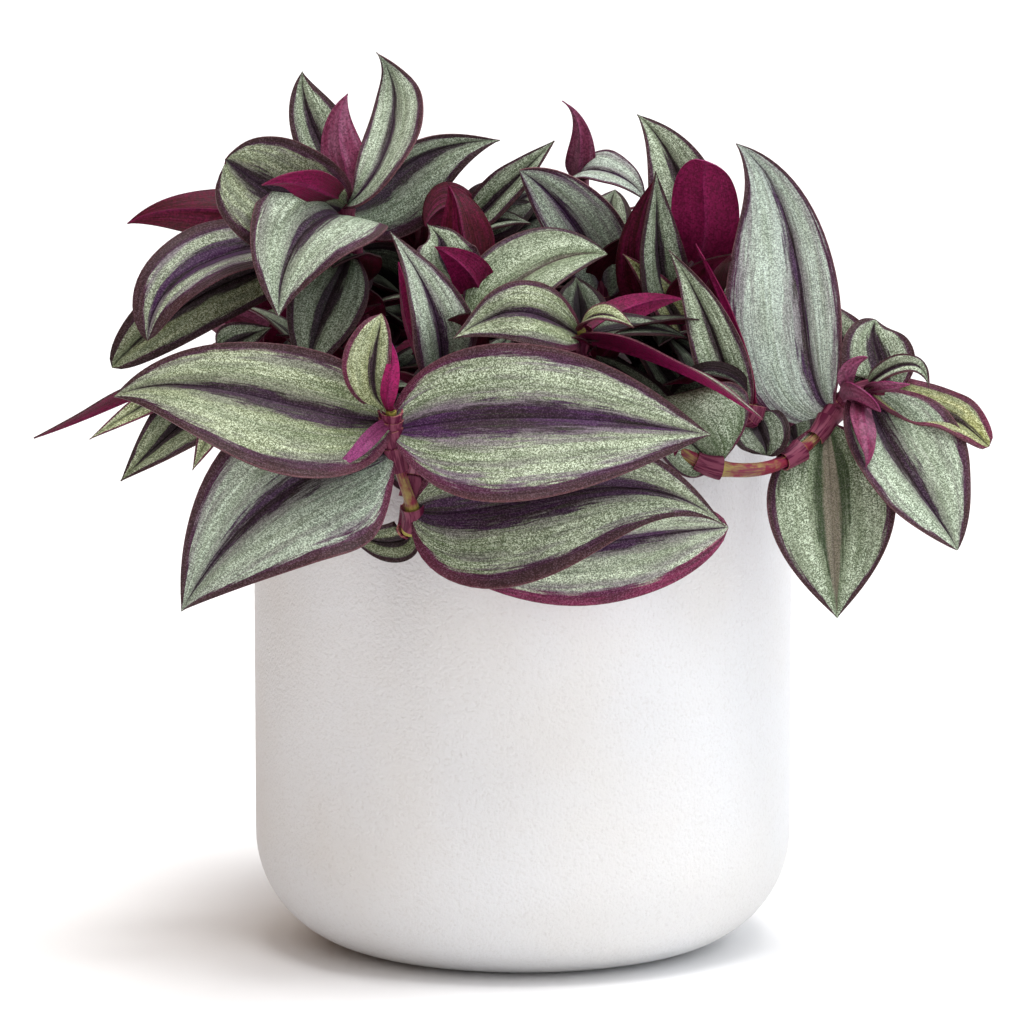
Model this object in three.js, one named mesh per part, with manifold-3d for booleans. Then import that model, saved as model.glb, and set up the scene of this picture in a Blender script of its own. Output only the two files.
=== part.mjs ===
// A potted tradescantia: a round-bottomed cylinder pot filled with soil, and the leafy stems that grow
// from it, rise over its rim and hang down outside. Millimetres, +Z up. The origin is the centre of the
// pot's underside, and the front, where the longest leaves hang over the rim, faces -Y.
import * as THREE from "three";
import { mergeVertices } from "three/addons/utils/BufferGeometryUtils.js";
import Module from "manifold-3d";

const wasm = await Module();
wasm.setup();

// Driving dimensions of the pot and the soil.
const POT_RADIUS = 70; // outside of the straight wall
const POT_HEIGHT = 136;
const POT_WALL = 4;
const POT_CORNER = 30; // outer radius of the rounded lower corner
const RIM_ROUND = 1.6; // radius of the rim's two edges
const POT_SIDES = 34;
const CORNER_STEPS = 5;
const RIM_STEPS = 3;
const SOIL_TOP = 122;
const SOIL_GAP = 0.3; // between the soil and the pot
const SOIL_CROWN = 2; // how much higher the soil is in the middle

// Driving dimensions that all stems and leaves share.
const STEM_RADIUS = 1.9;
const STEM_SIDES = 5;
const STEM_STEP = 11; // length of stem between two rings of its mesh
const LEAST_STEM_STEPS = 6;
const ROOT_DEPTH = 22; // how deep each stem stands in the soil
const HOLE_CLEARANCE = 0.45; // between a stem's corners and its hole in the soil
const BLADE_THICKNESS = 0.7;
const ROOT_HALF_WIDTH = 1.2; // where the blade joins the stem
const TIP_HALF_WIDTH = 0.35;
const WELD = 1e-4; // points nearer than this are one
const LARGE_BLADE_ROWS = [0, 0.1, 0.3, 0.55, 0.8, 1]; // places along a blade, from root to tip
const SMALL_BLADE_ROWS = [0, 0.22, 0.6, 1];
const LARGE_BLADE_WIDTH = 16.5; // narrower blades have fewer rows
const BACK_BLADE_ROWS = [0, 0.25, 0.62, 1];
const EVEN_REACH = [1 / 3, 2 / 3]; // shares of the way at which a plain midrib bends
const WIDEST_AT = 0.32; // place of the greatest width, from root to tip
const TIP_TAPER = 1.05; // how slowly the blade narrows towards its tip
const EDGE_RISE = 1.3; // lift of a folded blade's edge against a flat fold
const EDGE_ROLL = 0.35; // how much of that lift rolls off again at the edge

const COLOURS = {
  pot: 0xe4e2e0,
  soil: 0x3a2c24,
  silver: 0x8d9c88,
  green: 0x7d8f6c,
  purple: 0x6d4a62,
};

// The stems seen from the front. A route holds the points that a stem runs through, from the soil to its
// growing tip. A leaf grows at a place on the route, counted in route points. It has its tip, the way
// that its upper side faces, its greatest width, its bow out of its own plane and its sway within that
// plane (each near the root and near the tip), and its fold along the midrib. Some have the bows and
// sways at other shares of the way (reach), a twist or a lean about the midrib in degrees, one half
// wider than the other (skew, as a share), or are widest at another place or narrow faster or slower.
const FRONT_STEMS = [
  {
    name: "stem_front_left",
    colour: "silver",
    route: [[-22, -38, 122], [-24, -60, 146], [-27, -79, 132], [-28, -82, 119], [-27, -86, 124],
      [-30, -89, 134], [-32, -92, 144], [-32, -94, 149]],
    leaves: [
      { at: 6.4, tip: [-99, -90, 152], face: [0, -1, 0.45], width: 34, bow: [4.8, 10.4], sway: [4, -8.2],
        fold: 0.3, reach: [0.26, 0.71], skew: 0.16, widest: 0.36 },
      { at: 5.5, tip: [-83, -92, 100], face: [-0.25, -1, 0.1], width: 43, bow: [3.4, 14.1],
        sway: [-11.3, -7.6], fold: 0.3, reach: [0.27, 0.65], skew: 0.07 },
      { at: 6, tip: [45, -92, 143], face: [0, -1, 0.25], width: 40, bow: [5.9, 9.9], sway: [4.9, 2.6],
        fold: 0.25, reach: [0.34, 0.67], skew: -0.09, widest: 0.36 },
      { at: 4, tip: [49, -86, 120], face: [0, -1, 0.2], width: 40, bow: [3.9, 13], sway: [-3.4, 18.9],
        fold: 0.25, reach: [0.3, 0.67], skew: -0.05, widest: 0.3, taper: 1.3 },
      { at: 3, tip: [50, -80, 119], face: [0.1, -1, -0.2], width: 27, bow: [2.1, 7.5],
        sway: [-10.4, 0.6], fold: 0.2, reach: [0.32, 0.65], skew: -0.12, widest: 0.6, taper: 0.62 },
      { at: 3, tip: [-44, -74, 118], face: [0, -1, -0.1], width: 10.5, bow: [-3.6, 4.7], sway: [5, 4.1],
        fold: 0.2, reach: [0.06, 0.38], widest: 0.4 },
      { at: 7, tip: [-34, -101, 173], face: [-0.12, -1, 0.06], width: 12.3, bow: [-5.1, 12.3],
        sway: [8.1, -0.8], fold: 0.35, reach: [0.09, 0.91], twist: -6, skew: 0.3, widest: 0.57,
        taper: 0.98 },
      { at: 7, tip: [-32, -103, 167], face: [0.2, 1, 0.1], width: 4.6, bow: [-5.7, -4.1],
        sway: [-1.3, 3.2], fold: 0.4, reach: [0.31, 0.7], widest: 0.45 },
      { at: 6.5, tip: [-47, -103, 135], face: [0, -1, 0.1], width: 4, bow: [6.5, 4.8], sway: [-0.1, 1.6],
        fold: 0.2, reach: [0.66, 0.53], widest: 0.3, taper: 0.8 },
    ],
  },
  {
    name: "stem_upper_left",
    colour: "silver",
    route: [[-30, -12, 122], [-36, -18, 150], [-42, -24, 170], [-43, -34, 181], [-44, -36, 187],
      [-45, -38, 192], [-45, -38, 196], [-44, -38, 199]],
    leaves: [
      { at: 6, tip: [-56, -22, 228], face: [0.1, -1, 0.1], width: 16, bow: [-7.7, -0.6],
        sway: [-2.5, 4.8], fold: 0.35, reach: [0.26, 0.67], skew: -0.15, widest: 0.5 },
      { at: 6.8, tip: [-44, -36, 223], face: [0.1, 1, 0], width: 12, bow: [-1, -0.5], sway: [1.9, -5.8],
        fold: 0.4, reach: [0.16, 0.6], widest: 0.42 },
      { at: 5.6, tip: [-37, -29, 233], face: [-0.19, -1, 0.65], width: 17.4, bow: [21.9, -23.4],
        sway: [-14.7, -5.6], fold: 0.3, reach: [0.07, 0.9], twist: -34, lean: -15, skew: -0.25,
        widest: 0.48, taper: 1.4 },
      { at: 5.3, tip: [-6, -8, 210], face: [-0.51, -1, -0.33], width: 22.6, bow: [-14.6, -5.9],
        sway: [-4, 9.3], fold: 0.25, reach: [0.48, 0.52], twist: 2, lean: 12, skew: -0.4, widest: 0.42,
        taper: 1.11 },
      { at: 5.3, tip: [-73, -66, 208], face: [-0.79, -1, 0.41], width: 29.4, bow: [9.5, -1.7],
        sway: [5.2, -0.4], fold: 0.25, reach: [0.56, 0.98], twist: -6, skew: -0.01, widest: 0.39,
        taper: 0.79 },
      { at: 4.7, tip: [-60, -72, 170], face: [-0.12, -1, 0.55], width: 32, bow: [20.8, 13.4],
        sway: [3.6, -7.5], fold: 0.25, reach: [0.39, 0.66], twist: -10, lean: -5, skew: 0.03,
        widest: 0.39, taper: 0.99 },
      { at: 6.2, tip: [-64, -70, 202], face: [0.2, 0.9, 0.2], width: 10, bow: [-8.2, -1.4],
        sway: [6.6, 7.4], fold: 0.3, reach: [0.72, 0.77], widest: 0.4 },
      { at: 4.8, tip: [-100, -30, 190], face: [0, 0.8, -0.5], width: 16, bow: [6.3, -10.1],
        sway: [1.5, 4], fold: 0.3, reach: [0.27, 0.71], widest: 0.45 },
      { at: 4, tip: [-93, -60, 163], face: [-0.1, -0.85, 0.6], width: 21, bow: [-0.3, 19.4],
        sway: [-7, -12.8], fold: 0.3, reach: [0.24, 0.83], lean: 10, widest: 0.55, taper: 0.7 },
      { at: 3.2, tip: [-103, -46, 155], face: [0, -0.9, 0.2], width: 18, bow: [-5, 5.2],
        sway: [-8.9, -9.7], fold: 0.3, reach: [0.26, 0.65], lean: -15, widest: 0.6, taper: 0.6 },
      { at: 3.4, tip: [-54, -60, 153], face: [0, -1, 0.2], width: 20, bow: [9.7, 11.4],
        sway: [0.2, -1.9], fold: 0.25, reach: [0.42, 0.67], widest: 0.5 },
    ],
  },
  {
    name: "stem_left_centre",
    colour: "green",
    route: [[-12, -26, 122], [-13, -40, 138], [-16, -53, 147], [-20, -57, 155], [-13, -52, 165],
      [-10, -46, 172], [-12, -42, 179]],
    leaves: [
      { at: 3, tip: [-33, -60, 190], face: [0.46, -1, 0.23], width: 18.7, bow: [15.3, 8.3],
        sway: [3.1, -2], fold: 0.35, reach: [0.34, 0.53], twist: 2, lean: -3, skew: -0.02, widest: 0.25,
        taper: 1.02 },
      { at: 2.6, tip: [-31, -54, 182], face: [0.8, 0.6, 0.1], width: 9, bow: [-9, -5], sway: [2, 2],
        fold: 0.4 },
      { at: 4.9, tip: [-22, -56, 186], face: [-0.2, 1, 0.2], width: 11, bow: [-2, -2], sway: [3, 3],
        fold: 0.3 },
      { at: 6, tip: [-19, -34, 200], face: [0.1, 1, 0.2], width: 15, bow: [-3, -3], sway: [-1, 3],
        fold: 0.3 },
      { at: 4.8, tip: [-24, -48, 191], face: [-0.1, -1, 0.3], width: 17, bow: [3.5, 3.3],
        sway: [4.1, -2.4], fold: 0.3, reach: [0.91, 0.61] },
      { at: 4, tip: [21, -42, 183], face: [-0.1, -0.9, 0.7], width: 21, bow: [5.3, 5.3],
        sway: [3.1, 6.8], fold: 0.3, reach: [0.28, 0.7], skew: 0.1, widest: 0.45, taper: 0.9 },
    ],
  },
  {
    name: "stem_back_left",
    colour: "green",
    route: [[-14, 0, 122], [-16, 4, 150], [-13, -10, 179], [-14, -10, 185], [-14, -10, 188]],
    leaves: [
      { at: 4, tip: [8, -12, 210], face: [-0.3, -1, 0.7], width: 12, bow: [3, 3], sway: [-2, -2],
        fold: 0.3 },
      { at: 3, tip: [-25, -24, 189], face: [0, 1, -0.3], width: 15, bow: [-7.6, -3.1], sway: [0.4, 13.7],
        fold: 0.3, reach: [0.03, 0.61], widest: 0.5, taper: 0.7 },
      { at: 2.4, tip: [2, -16, 189], face: [0, -0.6, 1], width: 11, bow: [5, 5], sway: [0, 0],
        fold: 0.3 },
    ],
  },
  {
    name: "stem_centre_back",
    colour: "silver",
    route: [[8, 8, 122], [14, 6, 150], [20, 0, 168], [17, 0, 184], [15, 0, 194], [14, 0, 199]],
    leaves: [
      { at: 5, tip: [10, -6, 220], face: [0.3, 1, 0.1], width: 9, bow: [-3.5, -0.4], sway: [1.7, 7.1],
        fold: 0.5, reach: [0.21, 0.76], widest: 0.25, taper: 1.5 },
      { at: 4.8, tip: [31, -16, 195], face: [0, -0.9, 1], width: 14, bow: [9.1, 6.1], sway: [0, 3.2],
        fold: 0.3, reach: [0.08, 0.8] },
      { at: 2, tip: [-1, -22, 203], face: [-0.2, -1, 0.3], width: 20, bow: [1.5, -0.5],
        sway: [-7.7, -4.6], fold: 0.3, reach: [0.26, 0.82], skew: -0.18, widest: 0.4, taper: 0.9 },
    ],
  },
  {
    name: "stem_centre_front",
    colour: "green",
    route: [[12, -24, 122], [15, -42, 140], [15, -56, 156], [14, -60, 161], [14, -62, 164],
      [14, -63, 166]],
    leaves: [
      { at: 4, tip: [-17, -88, 166], face: [-0.24, -1, 0.29], width: 17.7, bow: [14.4, -2.4],
        sway: [-5.8, -8.1], fold: 0.3, reach: [0.71, 0.54], twist: -3, lean: -1, skew: 0.09,
        widest: 0.33, taper: 1.08 },
      { at: 5, tip: [27, -70, 167], face: [0, -0.6, 1], width: 9, bow: [5, 5], sway: [0, 0], fold: 0.4 },
      { at: 3.6, tip: [58, -86, 146], face: [0.1, 0.25, 1], width: 20, bow: [4, 4], sway: [0, 0],
        fold: 0.3 },
      { at: 4, tip: [40, -44, 172], face: [0, 0.9, -0.2], width: 8, bow: [-3, -3], sway: [-3, -3],
        fold: 0.3 },
      { at: 3.8, tip: [41, -56, 163], face: [0, -0.5, 1], width: 12, bow: [4, 4], sway: [0, 0],
        fold: 0.3 },
    ],
  },
  {
    name: "stem_centre_right",
    colour: "purple",
    route: [[34, -10, 122], [40, -20, 150], [42, -28, 159], [41, -28, 167], [41, -26, 174],
      [42, -24, 180]],
    leaves: [
      { at: 5, tip: [29, -18, 217], face: [0, -1, 0.1], width: 20, bow: [3, 3], sway: [-5, -7],
        fold: 0.4 },
      { at: 4.2, tip: [46, -34, 206], face: [0.1, 1, 0.15], width: 17.5, bow: [-2.5, 0.6],
        sway: [7, -1.3], fold: 0.15, reach: [0.41, 0.74], widest: 0.5, taper: 0.42 },
      { at: 2.6, tip: [33, -44, 204], face: [0.3, -1, 0.1], width: 15, bow: [2, 2], sway: [8, 3],
        fold: 0.4 },
      { at: 2.3, tip: [33, -40, 202], face: [-0.2, 0.9, 0.1], width: 14, bow: [2, 2], sway: [-13, -9],
        fold: 0.5 },
      { at: 2, tip: [25, -40, 183], face: [0.2, -1, 0.1], width: 10, bow: [2, 2], sway: [-2, -2],
        fold: 0.4 },
      { at: 3, tip: [64, -22, 188], face: [-0.1, -1, 0.3], width: 17, bow: [3, 3], sway: [0, 0],
        fold: 0.3 },
    ],
  },
  {
    name: "stem_low_right",
    colour: "silver",
    route: [[40, -32, 122], [44, -46, 142], [50, -57, 144], [56, -60, 144], [57, -60, 147]],
    leaves: [
      { at: 3, tip: [36, -54, 185], face: [-0.2, -1, 0.1], width: 14, bow: [-1.7, 1.9],
        sway: [2.8, -4.1], fold: 0.35, reach: [0.25, 0.56], widest: 0.4, taper: 1.1 },
      { at: 4, tip: [43, -46, 186], face: [0.8, 0.6, 0.1], width: 5, bow: [2, 2], sway: [0, 0],
        fold: 0.3 },
      { at: 2.9, tip: [36, -60, 148], face: [0, -1, 0.3], width: 18, bow: [1.9, 6.8], sway: [-0.4, -1.8],
        fold: 0.2, reach: [0.19, 0.66], skew: -0.2, widest: 0.5, taper: 0.7 },
      { at: 3.6, tip: [60, -64, 135], face: [0.1, -1, 0.1], width: 15, bow: [-4.2, 2.6], sway: [-0.1, 1],
        fold: 0.25, reach: [0.12, 0.86], widest: 0.5, taper: 0.55 },
    ],
  },
  {
    name: "stem_right_tip",
    colour: "silver",
    route: [[20, -44, 122], [26, -58, 142], [34, -71, 139], [46, -72, 133], [60, -66, 132],
      [71, -57, 137], [78, -52, 145], [82, -54, 149], [87, -54, 150], [90, -54, 150]],
    leaves: [
      { at: 5.9, tip: [53, -47, 211], face: [-0.5, -1, 0.56], width: 30.7, bow: [2.6, -21.5],
        sway: [9, -11.3], fold: 0.3, reach: [0.14, 0.69], twist: -40, lean: 2, skew: 0.29, widest: 0.4,
        taper: 1 },
      { at: 5.6, tip: [78, -62, 94], face: [-0.05, -1, 0.1], width: 33, bow: [5, 5], sway: [0, 0],
        fold: 0.25, widest: 0.42 },
      { at: 7.6, tip: [107, -70, 112], face: [0.25, -1, 0.3], width: 29, bow: [10.5, 2.9],
        sway: [-7.6, -0.5], fold: 0.3, reach: [0.44, 0.68], skew: 0.2, widest: 0.37, taper: 0.85 },
      { at: 8, tip: [115, -64, 137], face: [0.45, -1, 1.05], width: 16.7, bow: [-2.6, 7.2],
        sway: [2.3, 0.2], fold: 0.3, reach: [0.66, 0.54], twist: -12, lean: 1, skew: 0.04, widest: 0.3,
        taper: 0.38 },
      { at: 7, tip: [85, -62, 159], face: [-0.1, 1, 0.3], width: 4.5, bow: [-3.5, -3.5],
        sway: [-5.2, -5.8], fold: 0.3, reach: [0.45, 0.97], widest: 0.5, taper: 0.7 },
      { at: 7.6, tip: [100, -66, 152], face: [0.1, -0.8, 0.6], width: 8, bow: [5.7, 10.6],
        sway: [-0.5, 5.7], fold: 0.3, reach: [0.3, 1.11], widest: 0.3 },
      { at: 7.6, tip: [84, -73, 133], face: [-0.2, 1, 0.2], width: 7, bow: [-7, -6.4], sway: [6.4, 0],
        fold: 0.3, reach: [0.73, 0.85], widest: 0.35 },
      { at: 8, tip: [73, -26, 171], face: [0, -1, 0.2], width: 15, bow: [3, 3], sway: [0, 0],
        fold: 0.3 },
      { at: 8.6, tip: [88, -48, 167], face: [0.1, -1, 0.2], width: 20, bow: [-1.6, 2.9],
        sway: [-3.4, 3.6], fold: 0.3, reach: [0.28, 0.68], skew: 0.1, widest: 0.45, taper: 0.8 },
      { at: 7.6, tip: [95, -69, 153], face: [0, 0.8, 0.6], width: 5, bow: [-3.1, -1.8],
        sway: [-4.5, -2.1], fold: 0.3, reach: [0.72, 0.86], widest: 0.35 },
      { at: 6.3, tip: [88, -67, 146], face: [-0.1, 0.9, 0.3], width: 9, bow: [-2.4, -1.6],
        sway: [-7.5, -4.6], fold: 0.3, reach: [0.7, 0.83], widest: 0.5, taper: 0.8 },
      { at: 3.1, tip: [33, -68, 149], face: [0.1, -1, 0.3], width: 27, bow: [-1.3, 8.6],
        sway: [0.3, 3.5], fold: 0.2, reach: [0.31, 0.68], skew: -0.38, widest: 0.42, taper: 0.6 },
      { at: 4.7, tip: [61, -42, 150], face: [0, -1, 0.2], width: 15, bow: [-6.5, -0.4],
        sway: [-1.5, -1.4], fold: 0.3, reach: [0.55, 0.65], widest: 0.4 },
    ],
  },
  {
    name: "stem_left_back",
    colour: "green",
    route: [[-40, -10, 122], [-52, -16, 146], [-66, -22, 141], [-76, -40, 156], [-76, -41, 158],
      [-77, -42, 160.5]],
    leaves: [
      { at: 3, tip: [-123, -44, 137], face: [0, 0.25, 1], width: 16, bow: [1, -1], sway: [0, 0],
        fold: 0.3 },
      { at: 3, tip: [-108, -56, 138], face: [0, -1, 0.3], width: 8, bow: [3, 3], sway: [0, 0],
        fold: 0.3 },
      { at: 2.6, tip: [-100, -60, 128], face: [-0.2, -1, 0.2], width: 18, bow: [4, 4], sway: [0, 0],
        fold: 0.3 },
      { at: 4.4, tip: [-63, -46, 165], face: [0, -1, 0.3], width: 10, bow: [3, 3], sway: [0, 0],
        fold: 0.3 },
      { at: 2.6, tip: [-82, -62, 131], face: [0, -1, 0.1], width: 9, bow: [2, 2], sway: [0, 0],
        fold: 0.3 },
    ],
  },
];

// The stems round the sides and the back. Each leans from its place in the soil towards its heading
// (degrees, counter-clockwise from +X), reaches out and up to its growing tip, and carries leaves in two
// rows that stand further up towards the tip.
const BACK_STEMS = [
  { name: "stem_side_right", root: [48, 0], heading: 346, reach: 11, height: 147,
    leaves: 5, size: 38, seed: 260 },
  { name: "stem_right_corner", root: [47, 17], heading: 27, reach: 14, height: 149,
    leaves: 6, size: 41, seed: 101 },
  { name: "stem_back_right", root: [30, 40], heading: 61, reach: 33, height: 152,
    leaves: 6, size: 53, seed: 400 },
  { name: "stem_back_middle", root: [0, 50], heading: 91, reach: 34, height: 150,
    leaves: 6, size: 57, seed: 37 },
  { name: "stem_back_corner", root: [-29, 38], heading: 125, reach: 31, height: 158,
    leaves: 6, size: 54, seed: 104 },
  { name: "stem_left_corner", root: [-52, 15], heading: 165, reach: 14, height: 154,
    leaves: 6, size: 39, seed: 2 },
  { name: "stem_side_left", root: [-37, -21], heading: 216, reach: 6, height: 139,
    leaves: 5, size: 27, seed: 367 },
  { name: "stem_inner_right", root: [26, 3], heading: 5, reach: 18, height: 167,
    leaves: 7, size: 44, seed: 47 },
  { name: "stem_inner_back", root: [8, 21], heading: 80, reach: 13, height: 165,
    leaves: 7, size: 47, seed: 296 },
  { name: "stem_inner_left", root: [-20, 18], heading: 135, reach: 18, height: 176,
    leaves: 7, size: 50, seed: 79 },
];
const MID_REACH = 0.45; // how far out the middle of such a stem is
const MID_HEIGHT = 0.62; // how high it is, from the soil to the tip
const NECK_REACH = 0.85; // how far out the stem is just below its tip
const NECK_DROP = 4; // how far below the tip that is
const FIRST_LEAF_AT = 1.1;
const LAST_LEAF_AT = 2.95;
const LOW_LEAF_SPREAD = 78; // degrees between a low leaf and the stem's heading
const HIGH_LEAF_SPREAD = 30;
const LOW_LEAF_RISE = -4; // degrees of a low leaf above the level
const HIGH_LEAF_RISE = 62;
const HIGH_LEAF_SIZE = 0.66; // size of the top leaf against the lowest
const WIDTH_PER_LENGTH = 0.46;
const BOW_NEAR_ROOT = 0.2;
const BOW_NEAR_TIP = 0.16;
const OUTWARD_FACING = 0.75; // how far a blade's upper side turns outwards, along the heading
const BACK_FOLD = 0.3;
const SPREAD_JITTER = 12; // degrees either way
const RISE_JITTER = 7;
const SIZE_JITTER = 0.08;

function vector(values) {
  return new THREE.Vector3(...values);
}

// A repeatable source of numbers from -1 to 1.
function seededDraws(seed) {
  const modulus = 2147483647;
  let state = seed * 7919;
  return () => {
    state = (state * 16807) % modulus;
    return (state / modulus) * 2 - 1;
  };
}

// Half of a blade's width at a place from 0, its root, to 1, its tip.
function halfWidth(leaf, place) {
  const widest = leaf.widest ?? WIDEST_AT;
  const taper = leaf.taper ?? TIP_TAPER;
  const swell = (taper * widest) / (1 - widest);
  const full = (place / widest) ** swell * ((1 - place) / (1 - widest)) ** taper;
  const least = place < widest ? ROOT_HALF_WIDTH : TIP_HALF_WIDTH;
  return Math.max((full * leaf.width) / 2, least);
}

// The midrib's curve, and what carries it across: the way along it, out of it and to its left.
function midrib(base, leaf) {
  const tip = vector(leaf.tip);
  const chord = tip.clone().sub(base);
  const along = chord.clone().normalize();
  const out = vector(leaf.face).addScaledVector(along, -vector(leaf.face).dot(along)).normalize();
  const left = out.clone().cross(along);
  const reach = leaf.reach ?? EVEN_REACH;
  const bend = (index) => {
    const point = base.clone().addScaledVector(chord, reach[index]);
    return point.addScaledVector(out, leaf.bow[index]).addScaledVector(left, leaf.sway[index]);
  };
  const curve = new THREE.CubicBezierCurve3(base, bend(0), bend(1), tip);
  return { curve, out };
}

// One blade as a closed solid: rows of three points across, on the upper and on the lower side, with
// both sides split into the same triangles.
function bladeGeometry(base, leaf) {
  const { curve, out } = midrib(base, leaf);
  const rows = leaf.rows ?? (leaf.width > LARGE_BLADE_WIDTH ? LARGE_BLADE_ROWS : SMALL_BLADE_ROWS);
  const positions = [];
  for (const place of rows) {
    const centre = curve.getPoint(place);
    const tangent = curve.getTangent(place);
    const normal = out.clone().addScaledVector(tangent, -out.dot(tangent)).normalize();
    const turn = (leaf.lean ?? 0) - (leaf.twist ?? 0) * (place - 0.5);
    normal.applyAxisAngle(tangent, THREE.MathUtils.degToRad(turn));
    const side = normal.clone().cross(tangent);
    const slope = Math.atan(leaf.fold);
    for (const across of [-1, 0, 1]) {
      const half = halfWidth(leaf, place) * (1 + (leaf.skew ?? 0) * across);
      const lift = half * Math.abs(across) * Math.sin(slope) * (1 - EDGE_ROLL) * EDGE_RISE;
      const point = centre.clone().addScaledVector(side, half * across * Math.cos(slope));
      point.addScaledVector(normal, lift);
      for (const face of [0.5, -0.5]) {
        positions.push(...point.clone().addScaledVector(normal, face * BLADE_THICKNESS).toArray());
      }
    }
  }
  const geometry = new THREE.BufferGeometry();
  geometry.setAttribute("position", new THREE.Float32BufferAttribute(positions, 3));
  geometry.setIndex(bladeTriangles(rows.length));
  return geometry;
}

// The triangles of a blade's solid. A point's number counts rows, then three places across, then the
// upper and the lower side.
function bladeTriangles(rows) {
  const upper = (row, across) => (row * 3 + across) * 2;
  const lower = (row, across) => upper(row, across) + 1;
  const index = [];
  for (let row = 0; row < rows - 1; row += 1) {
    const next = row + 1;
    for (let across = 0; across < 2; across += 1) {
      const beside = across + 1;
      index.push(upper(row, across), upper(next, across), upper(row, beside));
      index.push(upper(row, beside), upper(next, across), upper(next, beside));
      index.push(lower(row, across), lower(row, beside), lower(next, across));
      index.push(lower(row, beside), lower(next, beside), lower(next, across));
    }
    index.push(upper(row, 0), lower(row, 0), upper(next, 0));
    index.push(lower(row, 0), lower(next, 0), upper(next, 0));
    index.push(upper(row, 2), upper(next, 2), lower(row, 2));
    index.push(lower(row, 2), upper(next, 2), lower(next, 2));
  }
  const last = rows - 1;
  for (let across = 0; across < 2; across += 1) {
    const beside = across + 1;
    index.push(upper(0, across), upper(0, beside), lower(0, across));
    index.push(upper(0, beside), lower(0, beside), lower(0, across));
    index.push(upper(last, across), lower(last, across), upper(last, beside));
    index.push(upper(last, beside), lower(last, across), lower(last, beside));
  }
  return index;
}

// A stem's route, with its root added below the soil.
function stemCurve(route) {
  const [x, y, z] = route[0];
  const points = [[x, y, z - ROOT_DEPTH], ...route].map(vector);
  return new THREE.CatmullRomCurve3(points, false, "catmullrom", 0.5);
}

function stemGeometry(curve, radius) {
  const outline = [];
  for (let side = 0; side < STEM_SIDES; side += 1) {
    const angle = (side / STEM_SIDES) * 2 * Math.PI;
    outline.push(new THREE.Vector2(radius * Math.cos(angle), radius * Math.sin(angle)));
  }
  const steps = Math.max(LEAST_STEM_STEPS, Math.round(curve.getLength() / STEM_STEP));
  return new THREE.ExtrudeGeometry(new THREE.Shape(outline), { steps, extrudePath: curve });
}

// The leaves of a stem at the side or the back, by rule.
function backLeaves(stem, curve) {
  const draw = seededDraws(stem.seed);
  const turned = THREE.MathUtils.degToRad(stem.heading);
  const outward = new THREE.Vector3(Math.cos(turned), Math.sin(turned), 0);
  const leaves = [];
  for (let count = 0; count < stem.leaves; count += 1) {
    const share = count / (stem.leaves - 1);
    const row = count % 2 === 0 ? 1 : -1;
    const at = THREE.MathUtils.lerp(FIRST_LEAF_AT, LAST_LEAF_AT, share);
    const spread = THREE.MathUtils.lerp(LOW_LEAF_SPREAD, HIGH_LEAF_SPREAD, share) + SPREAD_JITTER * draw();
    const rise = THREE.MathUtils.lerp(LOW_LEAF_RISE, HIGH_LEAF_RISE, share) + RISE_JITTER * draw();
    const length = stem.size * THREE.MathUtils.lerp(1, HIGH_LEAF_SIZE, share) * (1 + SIZE_JITTER * draw());
    const heading = THREE.MathUtils.degToRad(stem.heading + row * spread);
    const climb = THREE.MathUtils.degToRad(rise);
    const level = new THREE.Vector3(Math.cos(heading), Math.sin(heading), 0);
    const base = curve.getPoint((at + 1) / (curve.points.length - 1));
    const tip = base.clone().addScaledVector(level, length * Math.cos(climb));
    tip.z += length * Math.sin(climb);
    const face = level.clone().multiplyScalar(-Math.sin(climb)).addScaledVector(outward, OUTWARD_FACING);
    face.z = Math.cos(climb);
    leaves.push({
      at,
      tip: tip.toArray(),
      face: face.toArray(),
      width: WIDTH_PER_LENGTH * length,
      bow: [BOW_NEAR_ROOT * length, BOW_NEAR_TIP * length],
      sway: [0, 0],
      fold: BACK_FOLD,
      rows: BACK_BLADE_ROWS,
    });
  }
  return leaves;
}

function backRoute(stem) {
  const heading = THREE.MathUtils.degToRad(stem.heading);
  const outward = [Math.cos(heading), Math.sin(heading)];
  const [x, y] = stem.root;
  const place = (share, z) => [x + outward[0] * stem.reach * share, y + outward[1] * stem.reach * share, z];
  const middle = THREE.MathUtils.lerp(SOIL_TOP, stem.height, MID_HEIGHT);
  const neck = place(NECK_REACH, stem.height - NECK_DROP);
  return [place(0, SOIL_TOP), place(MID_REACH, middle), neck, place(1, stem.height)];
}

function toSolid(geometry) {
  const bare = geometry.clone();
  bare.deleteAttribute("normal");
  bare.deleteAttribute("uv");
  const welded = mergeVertices(bare, WELD);
  return new wasm.Manifold(new wasm.Mesh({
    numProp: 3,
    vertProperties: new Float32Array(welded.attributes.position.array),
    triVerts: new Uint32Array(welded.index.array),
  }));
}

function toGeometry(solid) {
  const mesh = solid.getMesh();
  const geometry = new THREE.BufferGeometry();
  geometry.setAttribute("position", new THREE.Float32BufferAttribute(mesh.vertProperties, 3));
  geometry.setIndex(Array.from(mesh.triVerts));
  geometry.computeVertexNormals();
  return geometry;
}

function namedMesh(name, geometry, colour, roughness) {
  const material = new THREE.MeshStandardMaterial({ color: colour, roughness, metalness: 0 });
  const mesh = new THREE.Mesh(geometry, material);
  mesh.name = name;
  return mesh;
}

// A rounded corner of a lathe profile, from one angle to another (degrees from +radius to +height).
function corner(profile, centreRadius, centreHeight, radius, from, to, steps = CORNER_STEPS) {
  for (let step = 0; step <= steps; step += 1) {
    const angle = THREE.MathUtils.degToRad(THREE.MathUtils.lerp(from, to, step / steps));
    const across = centreRadius + radius * Math.cos(angle);
    profile.push(new THREE.Vector2(across, centreHeight + radius * Math.sin(angle)));
  }
}

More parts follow.
